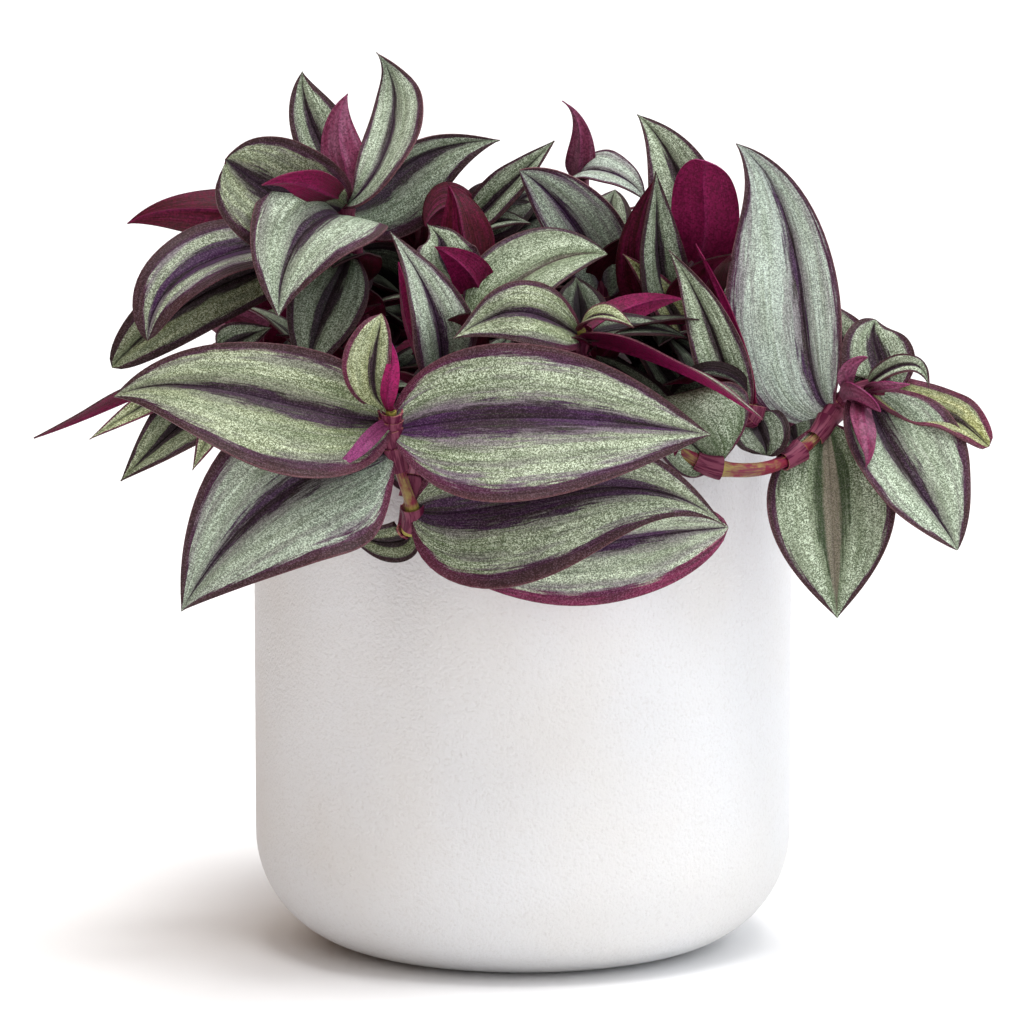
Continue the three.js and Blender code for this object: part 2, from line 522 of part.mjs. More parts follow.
// The pot: a shell with a flat underside, a rounded lower corner, a straight wall and a rounded rim.
function pot() {
  const profile = [new THREE.Vector2(0, 0)];
  const inner = POT_RADIUS - POT_WALL;
  corner(profile, POT_RADIUS - POT_CORNER, POT_CORNER, POT_CORNER, -90, 0);
  corner(profile, POT_RADIUS - RIM_ROUND, POT_HEIGHT - RIM_ROUND, RIM_ROUND, 0, 90, RIM_STEPS);
  corner(profile, inner + RIM_ROUND, POT_HEIGHT - RIM_ROUND, RIM_ROUND, 90, 180, RIM_STEPS);
  corner(profile, POT_RADIUS - POT_CORNER, POT_CORNER, POT_CORNER - POT_WALL, 0, -90);
  profile.push(new THREE.Vector2(0, POT_WALL));
  const geometry = new THREE.LatheGeometry(profile, POT_SIDES);
  geometry.rotateX(Math.PI / 2);
  return namedMesh("pot", toGeometry(toSolid(geometry)), COLOURS.pot, 0.75);
}

// The soil: it fills the pot to below the rim, a little higher in the middle, with a plain hole for
// each stem.
function soil(stemCurves) {
  const profile = [new THREE.Vector2(0, POT_WALL + SOIL_GAP)];
  const corners = POT_CORNER - POT_WALL - SOIL_GAP;
  corner(profile, POT_RADIUS - POT_CORNER, POT_CORNER, corners, -90, 0);
  profile.push(new THREE.Vector2(POT_RADIUS - POT_WALL - SOIL_GAP, SOIL_TOP - SOIL_CROWN));
  profile.push(new THREE.Vector2(POT_RADIUS / 2, SOIL_TOP));
  profile.push(new THREE.Vector2(0, SOIL_TOP));
  const geometry = new THREE.LatheGeometry(profile, POT_SIDES);
  geometry.rotateX(Math.PI / 2);
  let body = toSolid(geometry);
  for (const curve of stemCurves) {
    body = body.subtract(toSolid(stemGeometry(curve, STEM_RADIUS + HOLE_CLEARANCE)));
  }
  return namedMesh("soil", toGeometry(body), COLOURS.soil, 0.95);
}

// The largest body of a solid, without a loose scrap and with a sealed hollow filled.
function largestBody(solid) {
  const bodies = solid.decompose();
  bodies.sort((first, second) => second.volume() - first.volume());
  return bodies[0];
}

// One leafy stem: the stem and its blades, joined.
function leafyStem(name, curve, leaves, colour) {
  let body = toSolid(stemGeometry(curve, STEM_RADIUS));
  for (const leaf of leaves) {
    const base = curve.getPoint((leaf.at + 1) / (curve.points.length - 1));
    body = body.add(toSolid(bladeGeometry(base, leaf)));
  }
  return namedMesh(name, toGeometry(largestBody(body)), colour, 0.5);
}

const plant = new THREE.Group();
const stems = [];
for (const stem of FRONT_STEMS) {
  const curve = stemCurve(stem.route);
  stems.push({ name: stem.name, curve, leaves: stem.leaves, colour: COLOURS[stem.colour] });
}
for (const stem of BACK_STEMS) {
  const curve = stemCurve(backRoute(stem));
  stems.push({ name: stem.name, curve, leaves: backLeaves(stem, curve), colour: COLOURS.silver });
}
plant.add(pot());
plant.add(soil(stems.map((stem) => stem.curve)));
for (const stem of stems) {
  plant.add(leafyStem(stem.name, stem.curve, stem.leaves, stem.colour));
}

export default plant;
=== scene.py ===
"""A potted tradescantia: a white round-bottomed pot, dark soil and striped leafy stems.

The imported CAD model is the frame. Each piece here stands in the place of one of its nodes. Lengths
are millimetres in the row frame, and a mesh is turned to metres when its points are written.
"""

import logging
import math
from dataclasses import asdict, dataclass, field
from enum import Enum

import bpy
import numpy as np
from mathutils import Euler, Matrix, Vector, noise


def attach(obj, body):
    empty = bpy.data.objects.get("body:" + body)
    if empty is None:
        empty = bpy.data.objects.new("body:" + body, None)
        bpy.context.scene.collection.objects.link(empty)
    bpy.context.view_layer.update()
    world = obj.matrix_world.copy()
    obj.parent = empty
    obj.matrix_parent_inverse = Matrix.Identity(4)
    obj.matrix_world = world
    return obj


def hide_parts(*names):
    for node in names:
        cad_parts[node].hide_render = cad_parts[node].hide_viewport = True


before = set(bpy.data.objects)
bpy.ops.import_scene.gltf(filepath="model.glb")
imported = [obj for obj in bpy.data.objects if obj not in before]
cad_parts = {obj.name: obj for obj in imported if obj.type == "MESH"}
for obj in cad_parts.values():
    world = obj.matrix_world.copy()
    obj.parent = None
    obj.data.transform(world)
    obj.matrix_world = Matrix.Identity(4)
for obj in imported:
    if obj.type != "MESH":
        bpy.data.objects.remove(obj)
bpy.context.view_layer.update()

logging.basicConfig(level=logging.INFO, format="%(message)s")
LOG = logging.getLogger("plant")

Point = tuple[float, float, float]
Pair = tuple[float, float]
Colour = tuple[float, float, float, float]
Node = bpy.types.Node
Socket = bpy.types.NodeSocket

METRES = 0.001  # one millimetre
WELD = 0.00001  # metres within which a mesh's points are merged
BODY = "root"

# material slots of a stem's piece: the other side of a blade or a sheath has the slot after its own
BLADE_SLOT = 0
SHEATH_SLOT = 2
STEM_SLOT = 4

SEED_WRAP = 97  # the materials get a leaf's seed modulo this
NODES_PER_ROW = 9
NODE_SPACING = (200, 260)
COLOUR_MIX_INPUTS = (0, 6, 7)  # share and two colours, among the inputs of a Mix node
COLOUR_MIX_OUTPUT = 2


def paint(hex_colour: str) -> Colour:
    """Turns a colour as seen on a screen into the linear one that a shader takes.

    Args:
        hex_colour: Six hexadecimal digits.

    Returns:
        Red, green, blue and alpha from 0 to 1.
    """
    parts = [int(hex_colour[place : place + 2], 16) / 255 for place in (0, 2, 4)]
    linear = [part / 12.92 if part <= 0.04045 else ((part + 0.055) / 1.055) ** 2.4 for part in parts]
    return (linear[0], linear[1], linear[2], 1.0)


# ---------------------------------------------------------------- leaf colouring


@dataclass(frozen=True)
class Colouring:
    """How the stripes of one leaf are drawn, each from 0 to 1 unless said otherwise."""

    stripe: float = 0.2  # half width of the dark middle stripe, as a share of the half leaf
    margin: float = 0.17  # width of the dark margin, as a share of the half leaf
    violet: float = 0.25  # violet flush beside the dark parts
    green: float = 0.35  # green in the silver bands
    yellow: float = 0.0  # yellow in them
    light: float = 1.0  # painted light and shade: brightness of the upper side, 1 as it is, below 1 on leaves painted as shaded and above 1 on leaves painted as lit
    wine: float = 0.0  # how far the upper side is as purple as the underside
    under: float = 0.5  # underside, from maroon to magenta
    brown: float = 0.0  # brownish grey in the middle stripe
    pink: float = 0.12  # magenta in the margin, or in the whole of a wine-red leaf
    frost: float = 0.05  # how pale and even the silver bands are


class Tone(Enum):
    """The colourings that the leaves of this plant show."""

    SILVER = Colouring()
    # painted highlight: light above 1 brightens this pale leaf
    PALE = Colouring(stripe=0.12, margin=0.13, violet=0.7, green=0.2, light=1.14, frost=0.7)
    GREEN_SILVER = Colouring(stripe=0.17, margin=0.19, violet=0.45, green=0.8, yellow=0.32, light=0.92)
    GREY_SILVER = Colouring(stripe=0.16, margin=0.19, violet=0.6, green=0.3, frost=0.3)
    VIOLET_FLUSH = Colouring(stripe=0.22, margin=0.18, violet=0.95, green=0.55, yellow=0.14, light=0.98)
    VIOLET_STRIPE = Colouring(stripe=0.27, margin=0.2, violet=0.6, green=0.45, yellow=0.14)
    DEEP_STRIPE = Colouring(stripe=0.27, margin=0.22, violet=0.3, green=0.45, light=0.95)
    # painted highlight: light above 1 brightens this leaf
    PINK_MARGIN = Colouring(
        stripe=0.2, margin=0.2, violet=0.7, green=0.25, yellow=0.2, light=1.2, pink=1.0, frost=0.25
    )
    BROWN_CENTRE = Colouring(stripe=0.3, margin=0.15, violet=0.1, green=0.55, brown=1.0)
    # painted shade: light well below 1 darkens this olive leaf
    OLIVE = Colouring(stripe=0.26, margin=0.2, violet=0.1, green=0.8, yellow=0.45, light=0.62)
    YELLOW = Colouring(stripe=0.24, margin=0.2, violet=0.1, green=0.6, yellow=1.0, light=0.95, pink=0.8)
    YOUNG = Colouring(stripe=0.16, margin=0.18, violet=0.2, green=0.6, yellow=0.6, pink=0.7)
    SHADED = Colouring(stripe=0.25, margin=0.2, violet=0.15, green=0.5, light=0.6)
    OLIVE_VIOLET = Colouring(stripe=0.25, margin=0.2, violet=0.5, green=0.75, yellow=0.35, light=0.82)
    OVAL = Colouring(stripe=0.03, margin=0.07, violet=0.1, green=0.35, light=0.85)
    # painted shade: light well below 1 darkens these leaves deep in the foliage
    DUSKY_SHADE = Colouring(stripe=0.3, margin=0.24, violet=0.2, green=0.9, light=0.42, under=0.1)
    DEEP_SHADE = Colouring(stripe=0.3, margin=0.26, violet=0.2, green=1.0, light=0.26, under=0.0)
    WINE = Colouring(wine=1.0, under=1.0)
    MAROON = Colouring(wine=1.0, under=0.15, light=0.85, brown=1.0)
    RED_BACK = Colouring(stripe=0.2, violet=0.4, under=1.0, pink=1.0)
    BROAD_STRIPE = Colouring(stripe=0.34, margin=0.3, violet=0.9, green=0.5, yellow=0.1, light=0.86)
    # painted highlight: light above 1 brightens this lilac leaf
    LILAC = Colouring(stripe=0.14, margin=0.14, violet=1.0, green=0.25, light=1.38, frost=0.4)
    GREEN_EDGE = Colouring(
        stripe=0.08, margin=0.11, violet=0.1, green=0.6, yellow=0.1, light=0.94, brown=0.6, pink=0.0
    )
    BRIGHT_SILVER = Colouring(stripe=0.17, margin=0.17, violet=0.4, green=0.3, light=1.05, frost=0.2)
    # painted shade: light below 1 darkens this silver leaf
    SHADED_SILVER = Colouring(stripe=0.2, margin=0.2, violet=0.2, green=0.5, light=0.72)
    ROSE = Colouring(wine=1.0, under=1.0, pink=1.0)
    # painted highlight: light above 1 brightens these mauve leaves
    MAUVE = Colouring(wine=1.0, under=0.5, light=1.3, brown=0.4, pink=0.6, frost=0.45)
    # painted highlight: light above 1 brightens this wine-red leaf
    LIT_WINE = Colouring(wine=1.0, under=1.0, light=1.4, pink=0.6)


# ---------------------------------------------------------------- where stems and leaves grow


@dataclass(frozen=True)
class Leaf:
    """One leaf: where it grows on its stem's route, where it ends and how it is shaped.

    bow lifts the midrib out of the leaf's own plane and sway moves it within that plane, each near
    the root and near the tip, at the shares of the way there that reach gives. A smaller taper keeps
    the blade wide towards its tip, lean rolls it about its midrib and skew widens one of its halves.
    """

    at: float
    tip: Point
    face: Point
    width: float
    bow: Pair
    sway: Pair = (0, 0)
    fold: float = 0.3
    reach: Pair = (1 / 3, 2 / 3)
    twist: float = 0.0
    lean: float = 0.0
    skew: float = 0.0
    widest: float = 0.32
    taper: float = 1.05
    tone: Tone = Tone.SILVER


@dataclass(frozen=True)
class StemPlan:
    """A stem whose points are listed: its CAD node, the points it runs through, and its leaves."""

    node: str
    route: list[Point]
    leaves: list[Leaf]


@dataclass(frozen=True)
class RuleStem:
    """A stem at the side or the back, which leans from its root towards its heading (degrees)."""

    node: str
    root: Pair
    heading: float
    reach: float
    height: float
    leaves: int
    size: float
    seed: int


FRONT_STEMS = [
    StemPlan(
        "stem_front_left",
        [(-22, -38, 122), (-24, -60, 146), (-27, -79, 132), (-28, -82, 119), (-27, -86, 124),
         (-30, -89, 134), (-32, -92, 144), (-32, -94, 149)],
        [
            Leaf(6.4, (-99, -90, 152), (0, -1, 0.45), 34, (4.8, 10.4), (4, -8.2), reach=(0.26, 0.71),
                 skew=0.16, widest=0.36, tone=Tone.GREEN_SILVER),
            Leaf(5.5, (-83, -92, 100), (-0.25, -1, 0.1), 43, (3.4, 14.1), (-11.3, -7.6), reach=(0.27, 0.65),
                 skew=0.07, tone=Tone.GREY_SILVER),
            Leaf(6, (45, -92, 143), (0, -1, 0.25), 40, (5.9, 9.9), (4.9, 2.6), fold=0.25,
                 reach=(0.34, 0.67), skew=-0.09, widest=0.36, tone=Tone.VIOLET_FLUSH),
            Leaf(4, (49, -86, 120), (0, -1, 0.2), 40, (3.9, 13), (-3.4, 18.9), fold=0.25, reach=(0.3, 0.67),
                 skew=-0.05, widest=0.3, taper=1.3, tone=Tone.VIOLET_STRIPE),
            Leaf(3, (50, -80, 119), (0.1, -1, -0.2), 27, (2.1, 7.5), (-10.4, 0.6), fold=0.2,
                 reach=(0.32, 0.65), skew=-0.12, widest=0.6, taper=0.62, tone=Tone.PINK_MARGIN),
            Leaf(3, (-44, -74, 118), (0, -1, -0.1), 10.5, (-3.6, 4.7), (5, 4.1), fold=0.2,
                 reach=(0.06, 0.38), widest=0.4, tone=Tone.OLIVE),
            Leaf(7, (-34, -101, 173), (-0.12, -1, 0.06), 12.3, (-5.1, 12.3), (8.1, -0.8), fold=0.35,
                 reach=(0.09, 0.91), twist=-6, skew=0.3, widest=0.57, taper=0.98, tone=Tone.YOUNG),
            Leaf(7, (-32, -103, 167), (0.2, 1, 0.1), 4.6, (-5.7, -4.1), (-1.3, 3.2), fold=0.4,
                 reach=(0.31, 0.7), widest=0.45, tone=Tone.ROSE),
            Leaf(6.5, (-47, -103, 135), (0, -1, 0.1), 4, (6.5, 4.8), (-0.1, 1.6), fold=0.2,
                 reach=(0.66, 0.53), widest=0.3, taper=0.8, tone=Tone.ROSE),
        ],
    ),
    StemPlan(
        "stem_upper_left",
        [(-30, -12, 122), (-36, -18, 150), (-42, -24, 170), (-43, -34, 181), (-44, -36, 187),
         (-45, -38, 192), (-45, -38, 196), (-44, -38, 199)],
        [
            Leaf(6, (-56, -22, 228), (0.1, -1, 0.1), 16, (-7.7, -0.6), (-2.5, 4.8), fold=0.35,
                 reach=(0.26, 0.67), skew=-0.15, widest=0.5, tone=Tone.DEEP_STRIPE),
            Leaf(6.8, (-44, -36, 223), (0.1, 1, 0), 12, (-1, -0.5), (1.9, -5.8), fold=0.4,
                 reach=(0.16, 0.6), widest=0.42, tone=Tone.MAUVE),
            Leaf(5.6, (-37, -29, 233), (-0.19, -1, 0.65), 17.4, (21.9, -23.4), (-14.7, -5.6),
                 reach=(0.07, 0.9), twist=-34, lean=-15, skew=-0.25, widest=0.48, taper=1.4,
                 tone=Tone.BRIGHT_SILVER),
            Leaf(5.3, (-6, -8, 210), (-0.51, -1, -0.33), 22.6, (-14.6, -5.9), (-4, 9.3), fold=0.25,
                 reach=(0.48, 0.52), twist=2, lean=12, skew=-0.4, widest=0.42, taper=1.11,
                 tone=Tone.DEEP_STRIPE),
            Leaf(5.3, (-73, -66, 208), (-0.79, -1, 0.41), 29.4, (9.5, -1.7), (5.2, -0.4), fold=0.25,
                 reach=(0.56, 0.98), twist=-6, skew=-0.01, widest=0.39, taper=0.79, tone=Tone.OLIVE_VIOLET),
            Leaf(4.7, (-60, -72, 170), (-0.12, -1, 0.55), 32, (20.8, 13.4), (3.6, -7.5), fold=0.25,
                 reach=(0.39, 0.66), twist=-10, lean=-5, skew=0.03, widest=0.39, taper=0.99,
                 tone=Tone.BRIGHT_SILVER),
            Leaf(6.2, (-64, -70, 202), (0.2, 0.9, 0.2), 10, (-8.2, -1.4), (6.6, 7.4), reach=(0.72, 0.77),
                 widest=0.4, tone=Tone.WINE),
            Leaf(4.8, (-100, -30, 190), (0, 0.8, -0.5), 16, (6.3, -10.1), (1.5, 4), reach=(0.27, 0.71),
                 widest=0.45, tone=Tone.MAROON),
            Leaf(4, (-93, -60, 163), (-0.1, -0.85, 0.6), 21, (-0.3, 19.4), (-7, -12.8), reach=(0.24, 0.83),
                 lean=10, widest=0.55, taper=0.7, tone=Tone.BROAD_STRIPE),
            Leaf(3.2, (-103, -46, 155), (0, -0.9, 0.2), 18, (-5, 5.2), (-8.9, -9.7), reach=(0.26, 0.65),
                 lean=-15, widest=0.6, taper=0.6, tone=Tone.OLIVE),
            Leaf(3.4, (-54, -60, 153), (0, -1, 0.2), 20, (9.7, 11.4), (0.2, -1.9), fold=0.25,
                 reach=(0.42, 0.67), widest=0.5, tone=Tone.SHADED),
        ],
    ),
    StemPlan(
        "stem_left_centre",
        [(-12, -26, 122), (-13, -40, 138), (-16, -53, 147), (-20, -57, 155), (-13, -52, 165),
         (-10, -46, 172), (-12, -42, 179)],
        [
            Leaf(3, (-33, -60, 190), (0.46, -1, 0.23), 18.7, (15.3, 8.3), (3.1, -2), fold=0.35,
                 reach=(0.34, 0.53), twist=2, lean=-3, skew=-0.02, widest=0.25, taper=1.02,
                 tone=Tone.GREY_SILVER),
            Leaf(2.6, (-31, -54, 182), (0.8, 0.6, 0.1), 9, (-9, -5), (2, 2), fold=0.4, tone=Tone.WINE),
            Leaf(4.9, (-22, -56, 186), (-0.2, 1, 0.2), 11, (-2, -2), (3, 3), tone=Tone.WINE),
            Leaf(6, (-19, -34, 200), (0.1, 1, 0.2), 15, (-3, -3), (-1, 3), tone=Tone.MAROON),
            Leaf(4.8, (-24, -48, 191), (-0.1, -1, 0.3), 17, (3.5, 3.3), (4.1, -2.4), reach=(0.91, 0.61)),
            Leaf(4, (21, -42, 183), (-0.1, -0.9, 0.7), 21, (5.3, 5.3), (3.1, 6.8), reach=(0.28, 0.7),
                 skew=0.1, widest=0.45, taper=0.9, tone=Tone.GREEN_EDGE),
        ],
    ),
    StemPlan(
        "stem_back_left",
        [(-14, 0, 122), (-16, 4, 150), (-13, -10, 179), (-14, -10, 185), (-14, -10, 188)],
        [
            Leaf(4, (8, -12, 210), (-0.3, -1, 0.7), 12, (3, 3), (-2, -2), tone=Tone.SHADED_SILVER),
            Leaf(3, (-25, -24, 189), (0, 1, -0.3), 15, (-7.6, -3.1), (0.4, 13.7), reach=(0.03, 0.61),
                 widest=0.5, taper=0.7, tone=Tone.MAROON),
            Leaf(2.4, (2, -16, 189), (0, -0.6, 1), 11, (5, 5), tone=Tone.SHADED),
        ],
    ),
    StemPlan(
        "stem_centre_back",
        [(8, 8, 122), (14, 6, 150), (20, 0, 168), (17, 0, 184), (15, 0, 194), (14, 0, 199)],
        [
            Leaf(5, (10, -6, 220), (0.3, 1, 0.1), 9, (-3.5, -0.4), (1.7, 7.1), fold=0.5, reach=(0.21, 0.76),
                 widest=0.25, taper=1.5, tone=Tone.MAUVE),
            Leaf(4.8, (31, -16, 195), (0, -0.9, 1), 14, (9.1, 6.1), (0, 3.2), reach=(0.08, 0.8),
                 tone=Tone.PALE),
            Leaf(2, (-1, -22, 203), (-0.2, -1, 0.3), 20, (1.5, -0.5), (-7.7, -4.6), reach=(0.26, 0.82),
                 skew=-0.18, widest=0.4, taper=0.9, tone=Tone.LILAC),
        ],
    ),
    StemPlan(
        "stem_centre_front",
        [(12, -24, 122), (15, -42, 140), (15, -56, 156), (14, -60, 161), (14, -62, 164), (14, -63, 166)],
        [
            Leaf(4, (-17, -88, 166), (-0.24, -1, 0.29), 17.7, (14.4, -2.4), (-5.8, -8.1),
                 reach=(0.71, 0.54), twist=-3, lean=-1, skew=0.09, widest=0.33, taper=1.08,
                 tone=Tone.GREEN_SILVER),
            Leaf(5, (27, -70, 167), (0, -0.6, 1), 9, (5, 5), fold=0.4, tone=Tone.YOUNG),
            Leaf(3.6, (58, -86, 146), (0.1, 0.25, 1), 20, (4, 4), tone=Tone.RED_BACK),
            Leaf(4, (40, -44, 172), (0, 0.9, -0.2), 8, (-3, -3), (-3, -3), tone=Tone.WINE),
            Leaf(3.8, (41, -56, 163), (0, -0.5, 1), 12, (4, 4), tone=Tone.DUSKY_SHADE),
        ],
    ),
    StemPlan(
        "stem_centre_right",
        [(34, -10, 122), (40, -20, 150), (42, -28, 159), (41, -28, 167), (41, -26, 174), (42, -24, 180)],
        [
            Leaf(5, (29, -18, 217), (0, -1, 0.1), 20, (3, 3), (-5, -7), fold=0.4),
            Leaf(4.2, (46, -34, 206), (0.1, 1, 0.15), 17.5, (-2.5, 0.6), (7, -1.3), fold=0.15,
                 reach=(0.41, 0.74), widest=0.5, taper=0.42, tone=Tone.LIT_WINE),
            Leaf(2.6, (33, -44, 204), (0.3, -1, 0.1), 15, (2, 2), (8, 3), fold=0.4, tone=Tone.SHADED_SILVER),
            Leaf(2.3, (33, -40, 202), (-0.2, 0.9, 0.1), 14, (2, 2), (-13, -9), fold=0.5, tone=Tone.MAROON),
            Leaf(2, (25, -40, 183), (0.2, -1, 0.1), 10, (2, 2), (-2, -2), fold=0.4, tone=Tone.YELLOW),
            Leaf(3, (64, -22, 188), (-0.1, -1, 0.3), 17, (3, 3)),
        ],
    ),
    StemPlan(
        "stem_low_right",
        [(40, -32, 122), (44, -46, 142), (50, -57, 144), (56, -60, 144), (57, -60, 147)],
        [
            Leaf(3, (36, -54, 185), (-0.2, -1, 0.1), 14, (-1.7, 1.9), (2.8, -4.1), fold=0.35,
                 reach=(0.25, 0.56), widest=0.4, taper=1.1),
            Leaf(4, (43, -46, 186), (0.8, 0.6, 0.1), 5, (2, 2), tone=Tone.WINE),
            Leaf(2.9, (36, -60, 148), (0, -1, 0.3), 18, (1.9, 6.8), (-0.4, -1.8), fold=0.2,
                 reach=(0.19, 0.66), skew=-0.2, widest=0.5, taper=0.7, tone=Tone.DEEP_SHADE),
            Leaf(3.6, (60, -64, 135), (0.1, -1, 0.1), 15, (-4.2, 2.6), (-0.1, 1), fold=0.25,
                 reach=(0.12, 0.86), widest=0.5, taper=0.55, tone=Tone.DUSKY_SHADE),
        ],
    ),
    StemPlan(
        "stem_right_tip",
        [(20, -44, 122), (26, -58, 142), (34, -71, 139), (46, -72, 133), (60, -66, 132), (71, -57, 137),
         (78, -52, 145), (82, -54, 149), (87, -54, 150), (90, -54, 150)],
        [
            Leaf(5.9, (53, -47, 211), (-0.5, -1, 0.56), 30.7, (2.6, -21.5), (9, -11.3), reach=(0.14, 0.69),
                 twist=-40, lean=2, skew=0.29, widest=0.4, taper=1, tone=Tone.PALE),
            Leaf(5.6, (78, -62, 94), (-0.05, -1, 0.1), 33, (5, 5), fold=0.25, widest=0.42,
                 tone=Tone.BROWN_CENTRE),
            Leaf(7.6, (107, -70, 112), (0.25, -1, 0.3), 29, (10.5, 2.9), (-7.6, -0.5), reach=(0.44, 0.68),
                 skew=0.2, widest=0.37, taper=0.85, tone=Tone.BRIGHT_SILVER),
            Leaf(8, (115, -64, 137), (0.45, -1, 1.05), 16.7, (-2.6, 7.2), (2.3, 0.2), reach=(0.66, 0.54),
                 twist=-12, lean=1, skew=0.04, widest=0.3, taper=0.38, tone=Tone.YELLOW),
            Leaf(7, (85, -62, 159), (-0.1, 1, 0.3), 4.5, (-3.5, -3.5), (-5.2, -5.8), reach=(0.45, 0.97),
                 widest=0.5, taper=0.7, tone=Tone.MAUVE),
            Leaf(7.6, (100, -66, 152), (0.1, -0.8, 0.6), 8, (5.7, 10.6), (-0.5, 5.7), reach=(0.3, 1.11),
                 widest=0.3, tone=Tone.DEEP_STRIPE),
            Leaf(7.6, (84, -73, 133), (-0.2, 1, 0.2), 7, (-7, -6.4), (6.4, 0), reach=(0.73, 0.85),
                 widest=0.35, tone=Tone.MAUVE),
            Leaf(8, (73, -26, 171), (0, -1, 0.2), 15, (3, 3)),
            Leaf(8.6, (88, -48, 167), (0.1, -1, 0.2), 20, (-1.6, 2.9), (-3.4, 3.6), reach=(0.28, 0.68),
                 skew=0.1, widest=0.45, taper=0.8, tone=Tone.DEEP_STRIPE),
            Leaf(7.6, (95, -69, 153), (0, 0.8, 0.6), 5, (-3.1, -1.8), (-4.5, -2.1), reach=(0.72, 0.86),
                 widest=0.35, tone=Tone.MAUVE),
            Leaf(6.3, (88, -67, 146), (-0.1, 0.9, 0.3), 9, (-2.4, -1.6), (-7.5, -4.6), reach=(0.7, 0.83),
                 widest=0.5, taper=0.8, tone=Tone.MAUVE),
            Leaf(3.1, (33, -68, 149), (0.1, -1, 0.3), 27, (-1.3, 8.6), (0.3, 3.5), fold=0.2,
                 reach=(0.31, 0.68), skew=-0.38, widest=0.42, taper=0.6, tone=Tone.OVAL),
            Leaf(4.7, (61, -42, 150), (0, -1, 0.2), 15, (-6.5, -0.4), (-1.5, -1.4), reach=(0.55, 0.65),
                 widest=0.4, tone=Tone.DUSKY_SHADE),
        ],
    ),
    StemPlan(
        "stem_left_back",
        [(-40, -10, 122), (-52, -16, 146), (-66, -22, 141), (-76, -40, 156), (-76, -41, 158),
         (-77, -42, 160.5)],
        [
            Leaf(3, (-123, -44, 137), (0, 0.25, 1), 16, (1, -1), tone=Tone.SHADED),
            Leaf(3, (-108, -56, 138), (0, -1, 0.3), 8, (3, 3), tone=Tone.YOUNG),
            Leaf(2.6, (-100, -60, 128), (-0.2, -1, 0.2), 18, (4, 4), tone=Tone.OLIVE),
            Leaf(4.4, (-63, -46, 165), (0, -1, 0.3), 10, (3, 3), tone=Tone.SHADED),
            Leaf(2.6, (-82, -62, 131), (0, -1, 0.1), 9, (2, 2), tone=Tone.YOUNG),
        ],
    ),
]

BACK_STEMS = [
    RuleStem("stem_side_right", (48, 0), 346, 11, 147, 5, 38, 260),
    RuleStem("stem_right_corner", (47, 17), 27, 14, 149, 6, 41, 101),
    RuleStem("stem_back_right", (30, 40), 61, 33, 152, 6, 53, 400),
    RuleStem("stem_back_middle", (0, 50), 91, 34, 150, 6, 57, 37),
    RuleStem("stem_back_corner", (-29, 38), 125, 31, 158, 6, 54, 104),
    RuleStem("stem_left_corner", (-52, 15), 165, 14, 154, 6, 39, 2),
    RuleStem("stem_side_left", (-37, -21), 216, 6, 139, 5, 27, 367),
    RuleStem("stem_inner_right", (26, 3), 5, 18, 167, 7, 44, 47),
    RuleStem("stem_inner_back", (8, 21), 80, 13, 165, 7, 47, 296),
    RuleStem("stem_inner_left", (-20, 18), 135, 18, 176, 7, 50, 79),
]

# dark leaves that fill gaps in the middle of the plant, their colour darkened with painted shade by their
# tones
INNER_LEAVES = {
    "stem_back_left": [
        Leaf(3.4, (5, 0, 197), (-0.2, -0.9, 0.4), 18, (3, 2), tone=Tone.DUSKY_SHADE),
        Leaf(2.7, (9, -3, 191), (0.0, -0.9, 0.4), 17, (2, 2), tone=Tone.DEEP_SHADE),
    ],
    "stem_inner_left": [
        Leaf(1.2, (-44, -12, 176), (0.2, -0.5, 0.8), 20, (3, 2), tone=Tone.DEEP_SHADE),
        Leaf(0.9, (-37, -20, 168), (0.1, -0.8, 0.5), 20, (3, 2), tone=Tone.DUSKY_SHADE),
        Leaf(1.5, (-48, -6, 181), (0.2, -0.8, 0.3), 22, (2, 2), tone=Tone.DEEP_SHADE),
        Leaf(1.0, (-30, -14, 178), (0.2, -0.8, 0.3), 20, (2, 2), tone=Tone.DEEP_SHADE),
        Leaf(1.8, (-26, -8, 192), (0.1, -0.8, 0.5), 16, (2, 2), tone=Tone.DEEP_SHADE),
    ],
    "stem_inner_right": [
        Leaf(0.6, (33, -18, 160), (0.1, -0.8, 0.6), 20, (3, 2), tone=Tone.DEEP_SHADE),
        Leaf(0.9, (20, -18, 164), (-0.1, -0.8, 0.6), 20, (3, 2), tone=Tone.DEEP_SHADE),
        Leaf(1.4, (46, -10, 158), (0.3, -0.7, 0.6), 18, (3, 2), tone=Tone.DEEP_SHADE),
    ],
    "stem_inner_back": [
        Leaf(1.5, (10, -8, 186), (0.0, -0.9, 0.4), 17, (2, 2), tone=Tone.DEEP_SHADE),
        Leaf(1.2, (-3, -6, 180), (0.0, -0.9, 0.4), 17, (2, 2), tone=Tone.DEEP_SHADE),
    ],
}

BACK_TONES = [
    Tone.SILVER,
    Tone.DEEP_STRIPE,
    Tone.GREEN_SILVER,
    Tone.VIOLET_FLUSH,
    Tone.GREY_SILVER,
    Tone.SILVER,
    Tone.VIOLET_STRIPE,
]


class SeededDraws:
    """A repeatable source of numbers from -1 to 1."""

    MODULUS = 2147483647
    MULTIPLIER = 16807
    SPREAD = 7919

    def __init__(self, seed: int) -> None:
        """Starts the source.

        Args:
            seed: Any whole number above 0.
        """
        self.state = seed * self.SPREAD % self.MODULUS

    def draw(self) -> float:
        """Returns the next number."""
        self.state = self.state * self.MULTIPLIER % self.MODULUS
        return self.state / self.MODULUS * 2 - 1


def lerp(start: float, end: float, share: float) -> float:
    """Returns the value at a share of the way from start to end."""
    return start + (end - start) * share


